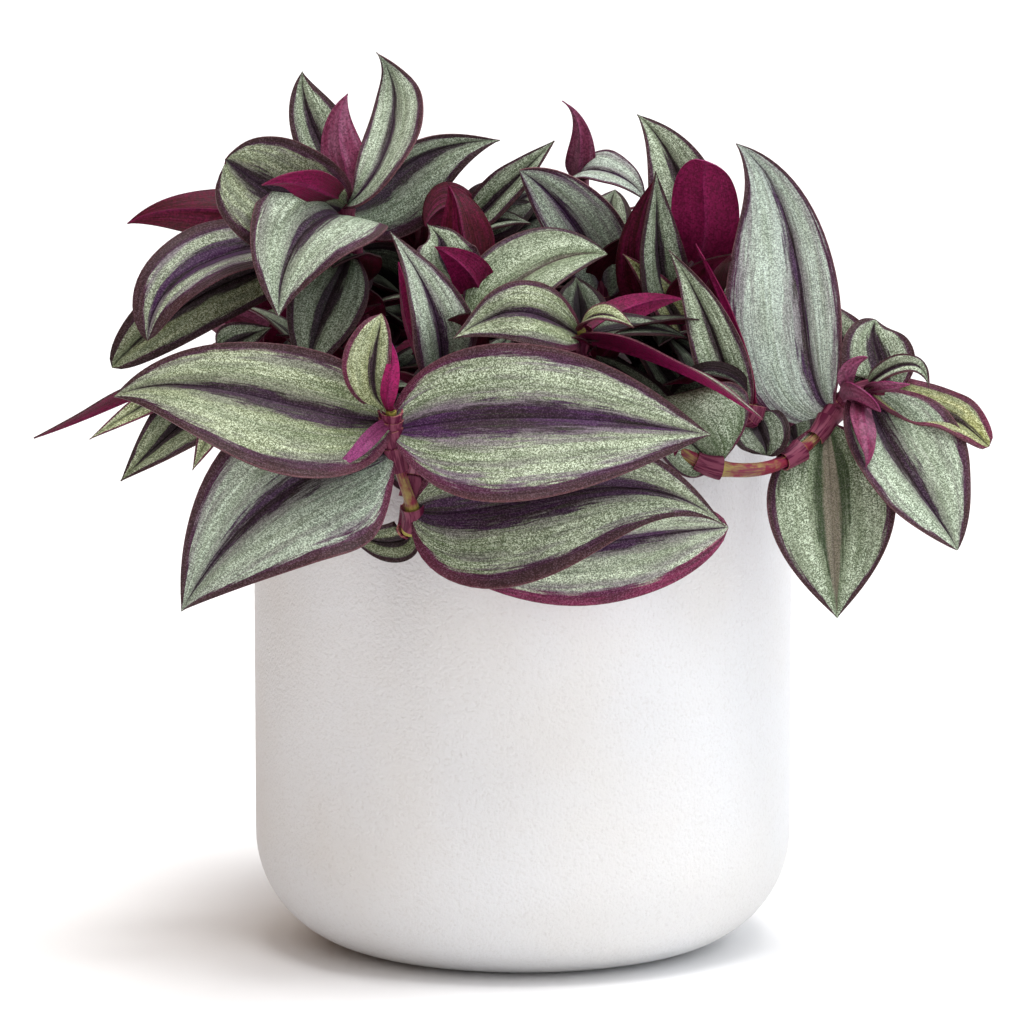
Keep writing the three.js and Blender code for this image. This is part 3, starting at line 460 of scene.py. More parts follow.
@dataclass(frozen=True)
class GrowthRule:
    """How the stems round the sides and the back carry their leaves.

    mid_reach, mid_height and neck_reach are shares of a stem's reach and height. Spread is a leaf's
    angle from its stem's heading and rise its angle above the level, both in degrees.
    """

    soil_top: float = 122.0
    mid_reach: float = 0.45
    mid_height: float = 0.62
    neck_reach: float = 0.85
    neck_drop: float = 4.0
    first_leaf_at: float = 1.1
    last_leaf_at: float = 2.95
    low_spread: float = 78.0
    high_spread: float = 30.0
    low_rise: float = -4.0
    high_rise: float = 62.0
    high_size: float = 0.66
    width_per_length: float = 0.46
    bow: Pair = (0.2, 0.16)
    outward_facing: float = 0.75
    spread_jitter: float = 12.0
    rise_jitter: float = 7.0
    size_jitter: float = 0.08

    def plan(self, stem: RuleStem) -> StemPlan:
        """Places the points and leaves of a stem.

        Args:
            stem: The stem's own sizes.

        Returns:
            The same stem as if it were listed.
        """
        heading = math.radians(stem.heading)
        outward = np.array([math.cos(heading), math.sin(heading), 0.0])
        root = np.array([*stem.root, 0.0])

        def place(share: float, height: float) -> Point:
            """Returns the point at a share of the reach and at a height."""
            flat = root + outward * stem.reach * share
            return (flat[0], flat[1], height)

        middle = lerp(self.soil_top, stem.height, self.mid_height)
        route = [
            place(0, self.soil_top),
            place(self.mid_reach, middle),
            place(self.neck_reach, stem.height - self.neck_drop),
            place(1, stem.height),
        ]
        draws = SeededDraws(stem.seed)
        line = StemLine(route)
        leaves = [self.leaf(stem, line, outward, draws, count) for count in range(stem.leaves)]
        return StemPlan(stem.node, route, leaves)

    def leaf(
        self, stem: RuleStem, line: "StemLine", outward: np.ndarray, draws: SeededDraws, count: int
    ) -> Leaf:
        """Places one leaf of a rule stem.

        Args:
            stem: The stem's own sizes.
            line: The curve that the stem follows.
            outward: The stem's heading as a unit vector.
            draws: Where the small differences come from.
            count: The leaf's number, from the lowest.

        Returns:
            The leaf.
        """
        share = count / (stem.leaves - 1)
        side = 1 if count % 2 == 0 else -1
        at = lerp(self.first_leaf_at, self.last_leaf_at, share)
        spread = lerp(self.low_spread, self.high_spread, share) + self.spread_jitter * draws.draw()
        rise = lerp(self.low_rise, self.high_rise, share) + self.rise_jitter * draws.draw()
        length = stem.size * lerp(1, self.high_size, share) * (1 + self.size_jitter * draws.draw())
        turned = math.radians(stem.heading + side * spread)
        climb = math.radians(rise)
        level = np.array([math.cos(turned), math.sin(turned), 0.0])
        up = np.array([0.0, 0.0, 1.0])
        tip = line.point(at + 1) + level * length * math.cos(climb) + up * length * math.sin(climb)
        face = -level * math.sin(climb) + outward * self.outward_facing + up * math.cos(climb)
        bow = (self.bow[0] * length, self.bow[1] * length)
        tone = BACK_TONES[(count + stem.seed) % len(BACK_TONES)]
        return Leaf(at, tuple(tip), tuple(face), self.width_per_length * length, bow, tone=tone)


class StemLine:
    """The smooth curve through a stem's points, with its root added below the soil."""

    ROOT_DEPTH = 22.0
    TENSION = 0.5

    def __init__(self, route: list[Point]) -> None:
        """Takes the points of a route.

        Args:
            route: The points from the soil to the growing tip.
        """
        x, y, z = route[0]
        self.points = np.array([(x, y, z - self.ROOT_DEPTH), *route], float)

    def point(self, place: float) -> np.ndarray:
        """Finds a point of the curve.

        Args:
            place: A place counted in points, from the root.

        Returns:
            The point.
        """
        last = len(self.points) - 1
        first = min(int(place), last - 1)
        share = place - first
        start, end = self.points[first], self.points[first + 1]
        before = self.points[first - 1] if first > 0 else 2 * start - end
        after = self.points[first + 2] if first + 2 <= last else 2 * end - start
        leave = self.TENSION * (end - before)
        arrive = self.TENSION * (after - start)
        square = -3 * start + 3 * end - 2 * leave - arrive
        cube = 2 * start - 2 * end + leave + arrive
        return start + leave * share + square * share**2 + cube * share**3

    def sample(self, start: float, end: float, count: int) -> np.ndarray:
        """Returns evenly counted points between two places."""
        return np.array([self.point(place) for place in np.linspace(start, end, count)])

    @property
    def end(self) -> float:
        """The place of the growing tip."""
        return float(len(self.points) - 1)


# ---------------------------------------------------------------- meshes


@dataclass
class Sheet:
    """A grid of points that is laid over a form, with its across and along values."""

    thing: bpy.types.Object
    across: np.ndarray
    along: np.ndarray

    def write(self, points: np.ndarray, material: int) -> None:
        """Moves the grid's points to a form and gives it its own map and material.

        Args:
            points: One row per vertex, in millimetres.
            material: The number of the material slot.
        """
        mesh = self.thing.data
        mesh.vertices.foreach_set("co", (points * METRES).astype(np.float32).ravel())
        corners = np.zeros(len(mesh.loops), np.int32)
        mesh.loops.foreach_get("vertex_index", corners)
        flat = np.stack([(self.across + 1) / 2, self.along], 1)[corners]
        mesh.uv_layers.active.data.foreach_set("uv", flat.astype(np.float32).ravel())
        mesh.polygons.foreach_set("material_index", np.full(len(mesh.polygons), material, np.int32))
        mesh.update()

    def tag(self, name: str, value: float | np.ndarray) -> None:
        """Gives every point a value that the materials read.

        Args:
            name: The attribute's name.
            value: One number, or one per point.
        """
        attribute = self.thing.data.attributes.new(name, "FLOAT", "POINT")
        values = np.broadcast_to(value, len(self.across)).astype(np.float32)
        attribute.data.foreach_set("value", np.ascontiguousarray(values))

    def row(self, last: int) -> np.ndarray:
        """Returns each point's row number, from 0 to last."""
        return np.rint(self.along * last).astype(int)

    def column(self, last: int) -> np.ndarray:
        """Returns each point's column number, from 0 to last."""
        return np.rint((self.across + 1) / 2 * last)


def clear_selection() -> None:
    """Deselects everything, so that an operator acts on one thing only."""
    bpy.ops.object.select_all(action="DESELECT")


def only(thing: bpy.types.Object) -> None:
    """Selects one object and makes it active."""
    clear_selection()
    thing.select_set(True)
    bpy.context.view_layer.objects.active = thing


def start_sheet(name: str, columns: int, rows: int) -> Sheet:
    """Adds a flat grid that a form is laid on.

    Args:
        name: The object's name.
        columns: How many faces it has across.
        rows: How many faces it has along.

    Returns:
        The grid, with across from -1 to 1 and along from 0 to 1.
    """
    clear_selection()
    bpy.ops.mesh.primitive_grid_add(x_subdivisions=columns, y_subdivisions=rows, size=1.0)
    thing = bpy.context.object
    thing.name = name
    flat = np.zeros(len(thing.data.vertices) * 3, np.float32)
    thing.data.vertices.foreach_get("co", flat)
    flat = flat.reshape(-1, 3)
    return Sheet(thing, flat[:, 0] * 2.0, flat[:, 1] + 0.5)


def join(parts: list[bpy.types.Object], name: str) -> bpy.types.Object:
    """Joins objects into one.

    Args:
        parts: The objects, the first of which stays.
        name: The joined object's name.

    Returns:
        The joined object.
    """
    only(parts[0])
    for part in parts[1:]:
        part.select_set(True)
    if len(parts) > 1:
        bpy.ops.object.join()
    parts[0].name = name
    parts[0].data.name = name
    return parts[0]


def edit(thing: bpy.types.Object, *steps: tuple) -> None:
    """Runs edit-mode operators on a whole mesh.

    Args:
        thing: The object.
        steps: Pairs of an operator and its settings.
    """
    only(thing)
    bpy.ops.object.mode_set(mode="EDIT")
    bpy.ops.mesh.select_all(action="SELECT")
    for operator, settings in steps:
        operator(**settings)
    bpy.ops.object.mode_set(mode="OBJECT")


def perpendicular(vectors: np.ndarray, direction: np.ndarray) -> np.ndarray:
    """Returns vectors without what lies along direction, made unit long."""
    along = np.sum(vectors * direction, -1, keepdims=True)
    rest = vectors - along * direction
    return rest / np.linalg.norm(rest, axis=-1, keepdims=True)


@dataclass
class LeafForm:
    """The form of a blade, and how finely its sheet is divided."""

    root_half_width: float = 1.2
    tip_half_width: float = 0.12
    edge_rise: float = 1.3
    edge_roll: float = 0.35
    columns: int = 16
    rows: int = 34
    middle_crowding: float = 1.25
    end_crowding: float = 0.5
    crease_depth: float = 0.45
    crease_width: float = 0.07  # as a share of the half leaf
    full_crease_at: float = 8.0  # half width from which the crease has its full depth
    wave_height: float = 0.035  # as a share of the half leaf
    wave_count: float = 2.3
    wave_jitter: float = 0.3

    def build(self, leaf: Leaf, base: np.ndarray, seed: int) -> Sheet:
        """Makes a leaf's blade.

        Args:
            leaf: The leaf.
            base: Where it grows from its stem.
            seed: A number of its own, for its small differences.

        Returns:
            The blade, its upper side facing as the leaf's face says.
        """
        sheet = start_sheet("blade", self.columns, self.rows)
        eased = 0.5 - 0.5 * np.cos(np.pi * sheet.along)
        sheet.along = lerp(sheet.along, eased, self.end_crowding)
        sheet.across = np.sign(sheet.across) * np.abs(sheet.across) ** self.middle_crowding
        sheet.write(self.lay(leaf, base, seed, sheet.across, sheet.along), BLADE_SLOT)
        for name, value in asdict(leaf.tone.value).items():
            sheet.tag(name, value)
        sheet.tag("seed", seed % SEED_WRAP)
        sheet.tag("side", sheet.across * leaf.width / 2)
        sheet.tag("run", sheet.along * float(np.linalg.norm(np.array(leaf.tip) - base)))
        return sheet

    def half_width(self, leaf: Leaf, along: np.ndarray) -> np.ndarray:
        """Works out half of the blade's width.

        Args:
            leaf: The leaf.
            along: Places from 0, its root, to 1, its tip.

        Returns:
            One half width per place.
        """
        widest, taper = leaf.widest, leaf.taper
        swell = taper * widest / (1 - widest)
        full = (along / widest) ** swell * ((1 - along) / (1 - widest)) ** taper
        least = np.where(along < widest, self.root_half_width, self.tip_half_width)
        return np.maximum(full * leaf.width / 2, least)

    def lay(
        self, leaf: Leaf, base: np.ndarray, seed: int, across: np.ndarray, along: np.ndarray
    ) -> np.ndarray:
        """Places the points of a blade.

        Args:
            leaf: The leaf.
            base: Where it grows from its stem.
            seed: A number of its own.
            across: Each point's place from -1 to 1 across.
            along: Each point's place from 0 to 1 along.

        Returns:
            One point per row.
        """
        tip = np.array(leaf.tip, float)
        chord = tip - base
        straight = chord / np.linalg.norm(chord)
        out = perpendicular(np.array(leaf.face, float), straight)
        left = np.cross(out, straight)
        near = base + chord * leaf.reach[0] + out * leaf.bow[0] + left * leaf.sway[0]
        far = base + chord * leaf.reach[1] + out * leaf.bow[1] + left * leaf.sway[1]
        t = along[:, None]
        centre = base * (1 - t) ** 3 + near * 3 * t * (1 - t) ** 2 + far * 3 * t**2 * (1 - t) + tip * t**3
        tangent = (near - base) * (1 - t) ** 2 + (far - near) * 2 * t * (1 - t) + (tip - far) * t**2
        tangent /= np.linalg.norm(tangent, axis=1, keepdims=True)
        normal = perpendicular(np.broadcast_to(out, tangent.shape), tangent)
        turn = np.radians(leaf.lean) - np.radians(leaf.twist) * (t - 0.5)
        normal = normal * np.cos(turn) + np.cross(tangent, normal) * np.sin(turn)
        side = np.cross(normal, tangent)
        slope = math.atan(leaf.fold)
        s = -across[:, None]
        half = self.half_width(leaf, along)[:, None] * (1 + leaf.skew * np.sign(s))
        lift = self.lift(s, t, half, slope, SeededDraws(seed))
        return centre + side * half * s * math.cos(slope) + normal * lift

    def lift(
        self, s: np.ndarray, t: np.ndarray, half: np.ndarray, slope: float, draws: SeededDraws
    ) -> np.ndarray:
        """Returns how far each point stands over the midrib: the fold, the waves and the crease.

        Args:
            s: Each point's place across, from -1 to 1.
            t: Its place along, from 0 to 1.
            half: The blade's half width there.
            slope: How steeply the halves rise, in radians.
            draws: Where the waves' differences come from.

        Returns:
            One height per point.
        """
        edge = np.abs(s)
        rise = half * edge * math.sin(slope) * (1 - self.edge_roll * edge) * self.edge_rise
        phase = math.pi * (draws.draw() + np.sign(s) * draws.draw())
        count = self.wave_count * (1 + self.wave_jitter * draws.draw())
        turns = 2 * math.pi * count * t + phase
        wave = half * self.wave_height * edge**2 * np.sin(turns) * np.sin(np.pi * t)
        line = self.crease_depth * np.exp(-((s / self.crease_width) ** 2))
        return rise + wave - line * np.minimum(half / self.full_crease_at, 1)


@dataclass
class StemForm:
    """The round stem and the sheaths round it at each leaf."""

    radius: float = 1.85
    node_radius: float = 2.25
    node_length: float = 2.2
    tip_radius: float = 1.1
    slims_from: float = 0.6  # share of the length from which the stem thins towards its tip
    sides: int = 14
    step: float = 1.6
    fewest_rows: int = 12
    measuring_rows: int = 60
    sheath_length: float = 5.5
    sheath_overlap: float = 1.0
    sheath_lowest: float = 0.4  # the first place on the stem where a sheath may start
    sheath_gap: float = 0.12
    sheath_squeeze: float = 0.25
    sheath_flare: float = 0.4
    sheath_flare_jitter: float = 0.35
    sheath_ripple: float = 0.16
    sheath_ripples: int = 3
    sheath_rows: int = 8

    def frames(self, centre: np.ndarray) -> tuple[np.ndarray, np.ndarray]:
        """Finds two directions across a line at each of its points, without twist.

        Args:
            centre: The line's points.

        Returns:
            The two directions, one row per point.
        """
        tangent = np.gradient(centre, axis=0)
        tangent /= np.linalg.norm(tangent, axis=1, keepdims=True)
        first = np.zeros_like(centre)
        start = np.array([1.0, 0.0, 0.0])
        for row, direction in enumerate(tangent):
            start = perpendicular(start, direction)
            first[row] = start
        return first, np.cross(tangent, first)

    def tube(self, name: str, centre: np.ndarray, radius: np.ndarray, material: int) -> Sheet:
        """Lays a sheet round a line.

        Args:
            name: The object's name.
            centre: The line's points.
            radius: One radius per point of the line, or one per point and side.
            material: The number of the material slot.

        Returns:
            The tube, open at both ends.
        """
        sheet = start_sheet(name, self.sides, len(centre) - 1)
        row = sheet.row(len(centre) - 1)
        column = sheet.column(self.sides).astype(int)
        angle = -column / self.sides * 2 * math.pi
        first, second = self.frames(centre)
        reach = radius[row] if radius.ndim == 1 else radius[row, column]
        out = first[row] * np.cos(angle)[:, None] + second[row] * np.sin(angle)[:, None]
        sheet.write(centre[row] + out * reach[:, None], material)
        return sheet

    def stem(self, line: StemLine, nodes: list[float]) -> Sheet:
        """Makes the bare stem, thicker where leaves grow.

        Args:
            line: The curve it follows.
            nodes: The places on it where leaves grow.

        Returns:
            The closed stem.
        """
        rough = line.sample(0, line.end, self.measuring_rows)
        length = float(np.sum(np.linalg.norm(np.diff(rough, axis=0), axis=1)))
        count = max(self.fewest_rows, int(length / self.step))
        places = np.linspace(0, line.end, count)
        centre = np.array([line.point(place) for place in places])
        walked = np.concatenate([[0], np.cumsum(np.linalg.norm(np.diff(centre, axis=0), axis=1))])
        swell = np.zeros(count)
        for node in nodes:
            distance = walked - np.interp(node, places, walked)
            swell = np.maximum(swell, np.exp(-((distance / self.node_length) ** 2)))
        knots = [0, walked[-1] * self.slims_from, walked[-1]]
        slim = np.interp(walked, knots, [1, 1, self.tip_radius / self.radius])
        radius = self.radius * slim + (self.node_radius - self.radius) * swell * slim
        sheet = self.tube("stem", centre, radius, STEM_SLOT)
        row = sheet.row(count - 1)
        sheet.tag("node", swell[row])
        sheet.tag("run", walked[row])
        edit(
            sheet.thing,
            (bpy.ops.mesh.remove_doubles, {"threshold": WELD}),
            (bpy.ops.mesh.fill_holes, {"sides": self.sides + 2}),
        )
        return sheet

    def sheath(self, line: StemLine, node: float, seed: int) -> Sheet:
        """Makes the thin tube that a leaf's root forms round the stem.

        Args:
            line: The curve of the stem.
            node: The place where the leaf grows.
            seed: A number of its own.

        Returns:
            The open tube, to be thickened.
        """
        draws = SeededDraws(seed)
        back = 0.5
        per_place = max(np.linalg.norm(line.point(node) - line.point(node - back)) / back, 1.0)
        start = max(node - self.sheath_length / per_place, self.sheath_lowest)
        end = min(node + self.sheath_overlap / per_place, line.end)
        centre = line.sample(start, end, self.sheath_rows + 1)
        share = np.linspace(0, 1, self.sheath_rows + 1)[:, None]
        ring = np.linspace(0, 2 * math.pi, self.sides + 1)[None, :]
        lopsided = 1 + self.sheath_flare_jitter * np.cos(ring + math.pi * draws.draw())
        flare = self.sheath_flare * share**2 * lopsided
        ripple = self.sheath_ripple * share * np.sin(self.sheath_ripples * ring + 2 * math.pi * draws.draw())
        radius = self.node_radius + self.sheath_gap + flare + ripple - self.sheath_squeeze * (1 - share)
        sheet = self.tube("sheath", centre, radius, SHEATH_SLOT)
        sheet.tag("seed", seed % SEED_WRAP)
        edit(sheet.thing, (bpy.ops.mesh.remove_doubles, {"threshold": WELD}))
        return sheet


# ---------------------------------------------------------------- finishes


@dataclass(frozen=True)
class Relief:
    """The depth of a relief in metres, and how strongly it shows."""

    depth: float
    strength: float


@dataclass(frozen=True)
class Streaks:
    """One set of streaks: how fine they are across, and their fineness along as a share of that."""

    fineness: float
    stretch: float


class Graph:
    """A node tree, with short ways to add to it."""

    def __init__(self, tree: bpy.types.NodeTree) -> None:
        """Takes the tree that nodes are added to."""
        self.tree = tree
        self.made = 0

    def add(self, kind: str, inputs: dict[str | int, object] | None = None, **settings: object) -> Node:
        """Adds a node.

        Args:
            kind: The node's type, without ShaderNode.
            inputs: What each of its sockets holds or is linked to.
            settings: The node's own settings.

        Returns:
            The node.
        """
        node = self.tree.nodes.new("ShaderNode" + kind)
        column, row = self.made % NODES_PER_ROW, self.made // NODES_PER_ROW
        node.location = (column * NODE_SPACING[0], -row * NODE_SPACING[1])
        self.made += 1
        for setting, value in settings.items():
            setattr(node, setting, value)
        for name, source in (inputs or {}).items():
            self.join(source, node.inputs[name])
        return node

    def join(self, source: object, socket: Socket) -> None:
        """Links a socket to another, or sets its value.

        Args:
            source: The other socket, or the value.
            socket: The socket.
        """
        if isinstance(source, Socket):
            self.tree.links.new(source, socket)
        else:
            socket.default_value = source

    def maths(self, operation: str, *values: object, clamp: bool = False) -> Socket:
        """Adds a maths step and returns its value."""
        node = self.add("Math", dict(enumerate(values)), operation=operation, use_clamp=clamp)
        return node.outputs[0]

    def times(self, first: object, second: object, clamp: bool = False) -> Socket:
        """Returns the product of two values."""
        return self.maths("MULTIPLY", first, second, clamp=clamp)

    def plus(self, first: object, second: object, clamp: bool = False) -> Socket:
        """Returns the sum of two values."""
        return self.maths("ADD", first, second, clamp=clamp)

    def minus(self, first: object, second: object, clamp: bool = False) -> Socket:
        """Returns the first value less the second."""
        return self.maths("SUBTRACT", first, second, clamp=clamp)

    def away(self, value: object) -> Socket:
        """Returns how far a value is from zero."""
        return self.maths("ABSOLUTE", value)

    def ease(self, value: object, low: float, high: float, start: float = 0, end: float = 1) -> Socket:
        """Adds a smooth step.

        Args:
            value: What it depends on.
            low: The value where the step starts.
            high: The value where it ends.
            start: The result at low.
            end: The result at high.

        Returns:
            The result, held at start and at end beyond the step.
        """
        inputs = {"Value": value, "From Min": low, "From Max": high, "To Min": start, "To Max": end}
        return self.add("MapRange", inputs, interpolation_type="SMOOTHSTEP").outputs["Result"]

    def blend(self, share: object, low: object, high: object, mode: str = "MIX") -> Socket:
        """Mixes two colours.

        Args:
            share: How much of the second shows, from 0 to 1.
            low: The first colour.
            high: The second colour.
            mode: How the second is laid on the first.

        Returns:
            The mixed colour.
        """
        node = self.add("Mix", data_type="RGBA", blend_type=mode, clamp_factor=True)
        for place, source in zip(COLOUR_MIX_INPUTS, (share, low, high)):
            self.join(source, node.inputs[place])
        return node.outputs[COLOUR_MIX_OUTPUT]

    def lit(self, colour: object, light: object) -> Socket:
        """Returns a colour made lighter or darker by a factor."""
        grey = self.add("CombineColor", {0: light, 1: light, 2: light}).outputs[0]
        return self.blend(1.0, colour, grey, "MULTIPLY")

    def noise(self, place: object, scale: float, detail: float = 2.0, roughness: float = 0.5) -> Socket:
        """Returns a smooth noise from 0 to 1."""
        inputs = {"Vector": place, "Scale": scale, "Detail": detail, "Roughness": roughness}
        return self.add("TexNoise", inputs).outputs["Fac"]

    def mark(self, name: str) -> Socket:
        """Returns a value that the mesh carries."""
        return self.add("Attribute", attribute_name=name, attribute_type="GEOMETRY").outputs["Fac"]

    def place(self) -> Socket:
        """Returns the place on the object."""
        return self.add("TexCoord").outputs["Object"]

    def own_map(self) -> tuple[Socket, Socket]:
        """Returns the place across and along the piece's own map, each from 0 to 1."""
        spot = self.add("SeparateXYZ", {"Vector": self.add("UVMap").outputs["UV"]}).outputs
        return spot["X"], spot["Y"]

    def group(self, tree: bpy.types.NodeTree, inputs: dict[str, object]) -> bpy.types.NodeOutputs:
        """Places a shared effect.

        Args:
            tree: The effect's node group.
            inputs: What each of its sockets holds or is linked to.

        Returns:
            What it puts out.
        """
        node = self.add("Group", node_tree=tree)
        for name, source in inputs.items():
            self.join(source, node.inputs[name])
        return node.outputs

    def relief(self, height: object, form: Relief, over: object = None) -> Socket:
        """Bends the surface's normal by a height.

        Args:
            height: The height, from 0 to 1.
            form: How deep and how strong the relief is.
            over: The normal of a coarser relief that this one lies on.

        Returns:
            The bent normal.
        """
        inputs = {"Strength": form.strength, "Distance": form.depth, "Height": height}
        if over is not None:
            inputs["Normal"] = over
        return self.add("Bump", inputs).outputs[0]


@dataclass(frozen=True)
class StreakEffect:
    """Ragged streaks that run the length of a leaf or a stem."""

    name: str = "LengthwiseStreaks"
    seed_step: float = 3.7
    detail: float = 3.0
    roughness: float = 0.6
    contrast: Pair = (0.28, 0.72)

    def build(self) -> bpy.types.NodeTree:
        """Makes the effect's node group and returns it."""
        tree = bpy.data.node_groups.new(self.name, "ShaderNodeTree")
        defaults = {"Side": 0.0, "Run": 0.0, "Seed": 0.0, "Fineness": 1.0, "Stretch": 0.1}
        for socket, default in defaults.items():
            made = tree.interface.new_socket(socket, in_out="INPUT", socket_type="NodeSocketFloat")
            made.default_value = default
        tree.interface.new_socket("Streaks", in_out="OUTPUT", socket_type="NodeSocketFloat")
        graph = Graph(tree)
        given = tree.nodes.new("NodeGroupInput").outputs
        across = graph.times(given["Side"], given["Fineness"])
        along = graph.times(graph.times(given["Run"], given["Fineness"]), given["Stretch"])
        apart = graph.times(given["Seed"], self.seed_step)
        place = graph.add("CombineXYZ", {"X": across, "Y": along, "Z": apart}).outputs[0]
        streaks = graph.ease(graph.noise(place, 1.0, self.detail, self.roughness), *self.contrast)
        tree.links.new(streaks, tree.nodes.new("NodeGroupOutput").inputs["Streaks"])
        return tree


@dataclass(frozen=True)
class GrainEffect:
    """A fine grain of rounded cells, such as leaf cells, cast grit or crumbs."""

    name: str = "FineGrain"
    usual_cells_per_metre: float = 1000.0

    def build(self) -> bpy.types.NodeTree:
        """Makes the effect's node group and returns it."""
        tree = bpy.data.node_groups.new(self.name, "ShaderNodeTree")
        made = tree.interface.new_socket("Cells per metre", in_out="INPUT", socket_type="NodeSocketFloat")
        made.default_value = self.usual_cells_per_metre
        for socket in ("Cells", "Domes"):
            tree.interface.new_socket(socket, in_out="OUTPUT", socket_type="NodeSocketFloat")
        graph = Graph(tree)
        given = tree.nodes.new("NodeGroupInput").outputs
        inputs = {"Vector": graph.place(), "Scale": given["Cells per metre"]}
        cells = graph.add("TexVoronoi", inputs, feature="F1").outputs
        each = graph.add("SeparateColor", {"Color": cells["Color"]}).outputs[0]
        domes = graph.minus(1.0, cells["Distance"], clamp=True)
        output = tree.nodes.new("NodeGroupOutput").inputs
        tree.links.new(each, output["Cells"])
        tree.links.new(domes, output["Domes"])
        return tree


@dataclass
class Effects:
    """The node groups that several finishes share."""

    streak_tree: bpy.types.NodeTree = field(default_factory=StreakEffect().build)
    grain_tree: bpy.types.NodeTree = field(default_factory=GrainEffect().build)

    def streaks(self, graph: Graph, where: dict[str, object], kind: Streaks) -> Socket:
        """Lays streaks on a finish.

        Args:
            graph: The finish's node tree.
            where: The values for Side, Run and Seed.
            kind: How fine and how long the streaks are.

        Returns:
            A value from 0 to 1.
        """
        shape = {"Fineness": kind.fineness, "Stretch": kind.stretch}
        return graph.group(self.streak_tree, where | shape)["Streaks"]

    def grain(self, graph: Graph, cells_per_metre: float) -> bpy.types.NodeOutputs:
        """Lays a grain on a finish and returns its Cells, one value each, and its Domes."""
        return graph.group(self.grain_tree, {"Cells per metre": cells_per_metre})


def start_finish(name: str) -> tuple[bpy.types.Material, Graph, Node]:
    """Starts a node material.

    Args:
        name: The material's name.

    Returns:
        The material, its graph and its Principled shader.
    """
    material = bpy.data.materials.new(name)
    material.use_nodes = True
    tree = material.node_tree
    shader = next(node for node in tree.nodes if node.type == "BSDF_PRINCIPLED")
    return material, Graph(tree), shader


@dataclass(frozen=True)
class Finish:
    """What each finish of the part has: a name, a grain, its gloss and its shine."""

    name: str
    cells_per_metre: float = 1000.0
    gloss: Pair = (0.4, 0.5)  # roughness where it is smoothest and where it is roughest
    shine: float = 0.5  # specular level

    def build(self, effects: Effects) -> bpy.types.Material:
        """Makes the material.

        Args:
            effects: The shared node groups.

        Returns:
            The material.
        """
        material, graph, shader = start_finish(self.name)
        colour, roughness, normal = self.draw(graph, effects)
        graph.join(colour, shader.inputs["Base Color"])
        graph.join(roughness, shader.inputs["Roughness"])
        graph.join(normal, shader.inputs["Normal"])
        shader.inputs["Specular IOR Level"].default_value = self.shine
        return material

    def draw(self, graph: Graph, effects: Effects) -> tuple[Socket, Socket, Socket]:
        """Draws the surface.

        Args:
            graph: The material's node tree.
            effects: The shared node groups.

        Returns:
            Its colour, its roughness and its normal.
        """
        raise NotImplementedError


@dataclass(frozen=True)
class BladeSpot:
    """What the leaf's upper finish reads at a spot on the blade."""

    edge: Socket  # 0 at the midrib, 1 at the edge
    along: Socket  # 0 at the root, 1 at the tip
    broad: Socket  # broad streaks
    narrow: Socket  # narrow streaks
    ragged: Socket  # both kinds together, from -0.5 to 0.5
    cells: Socket  # the grain, one value for each leaf cell


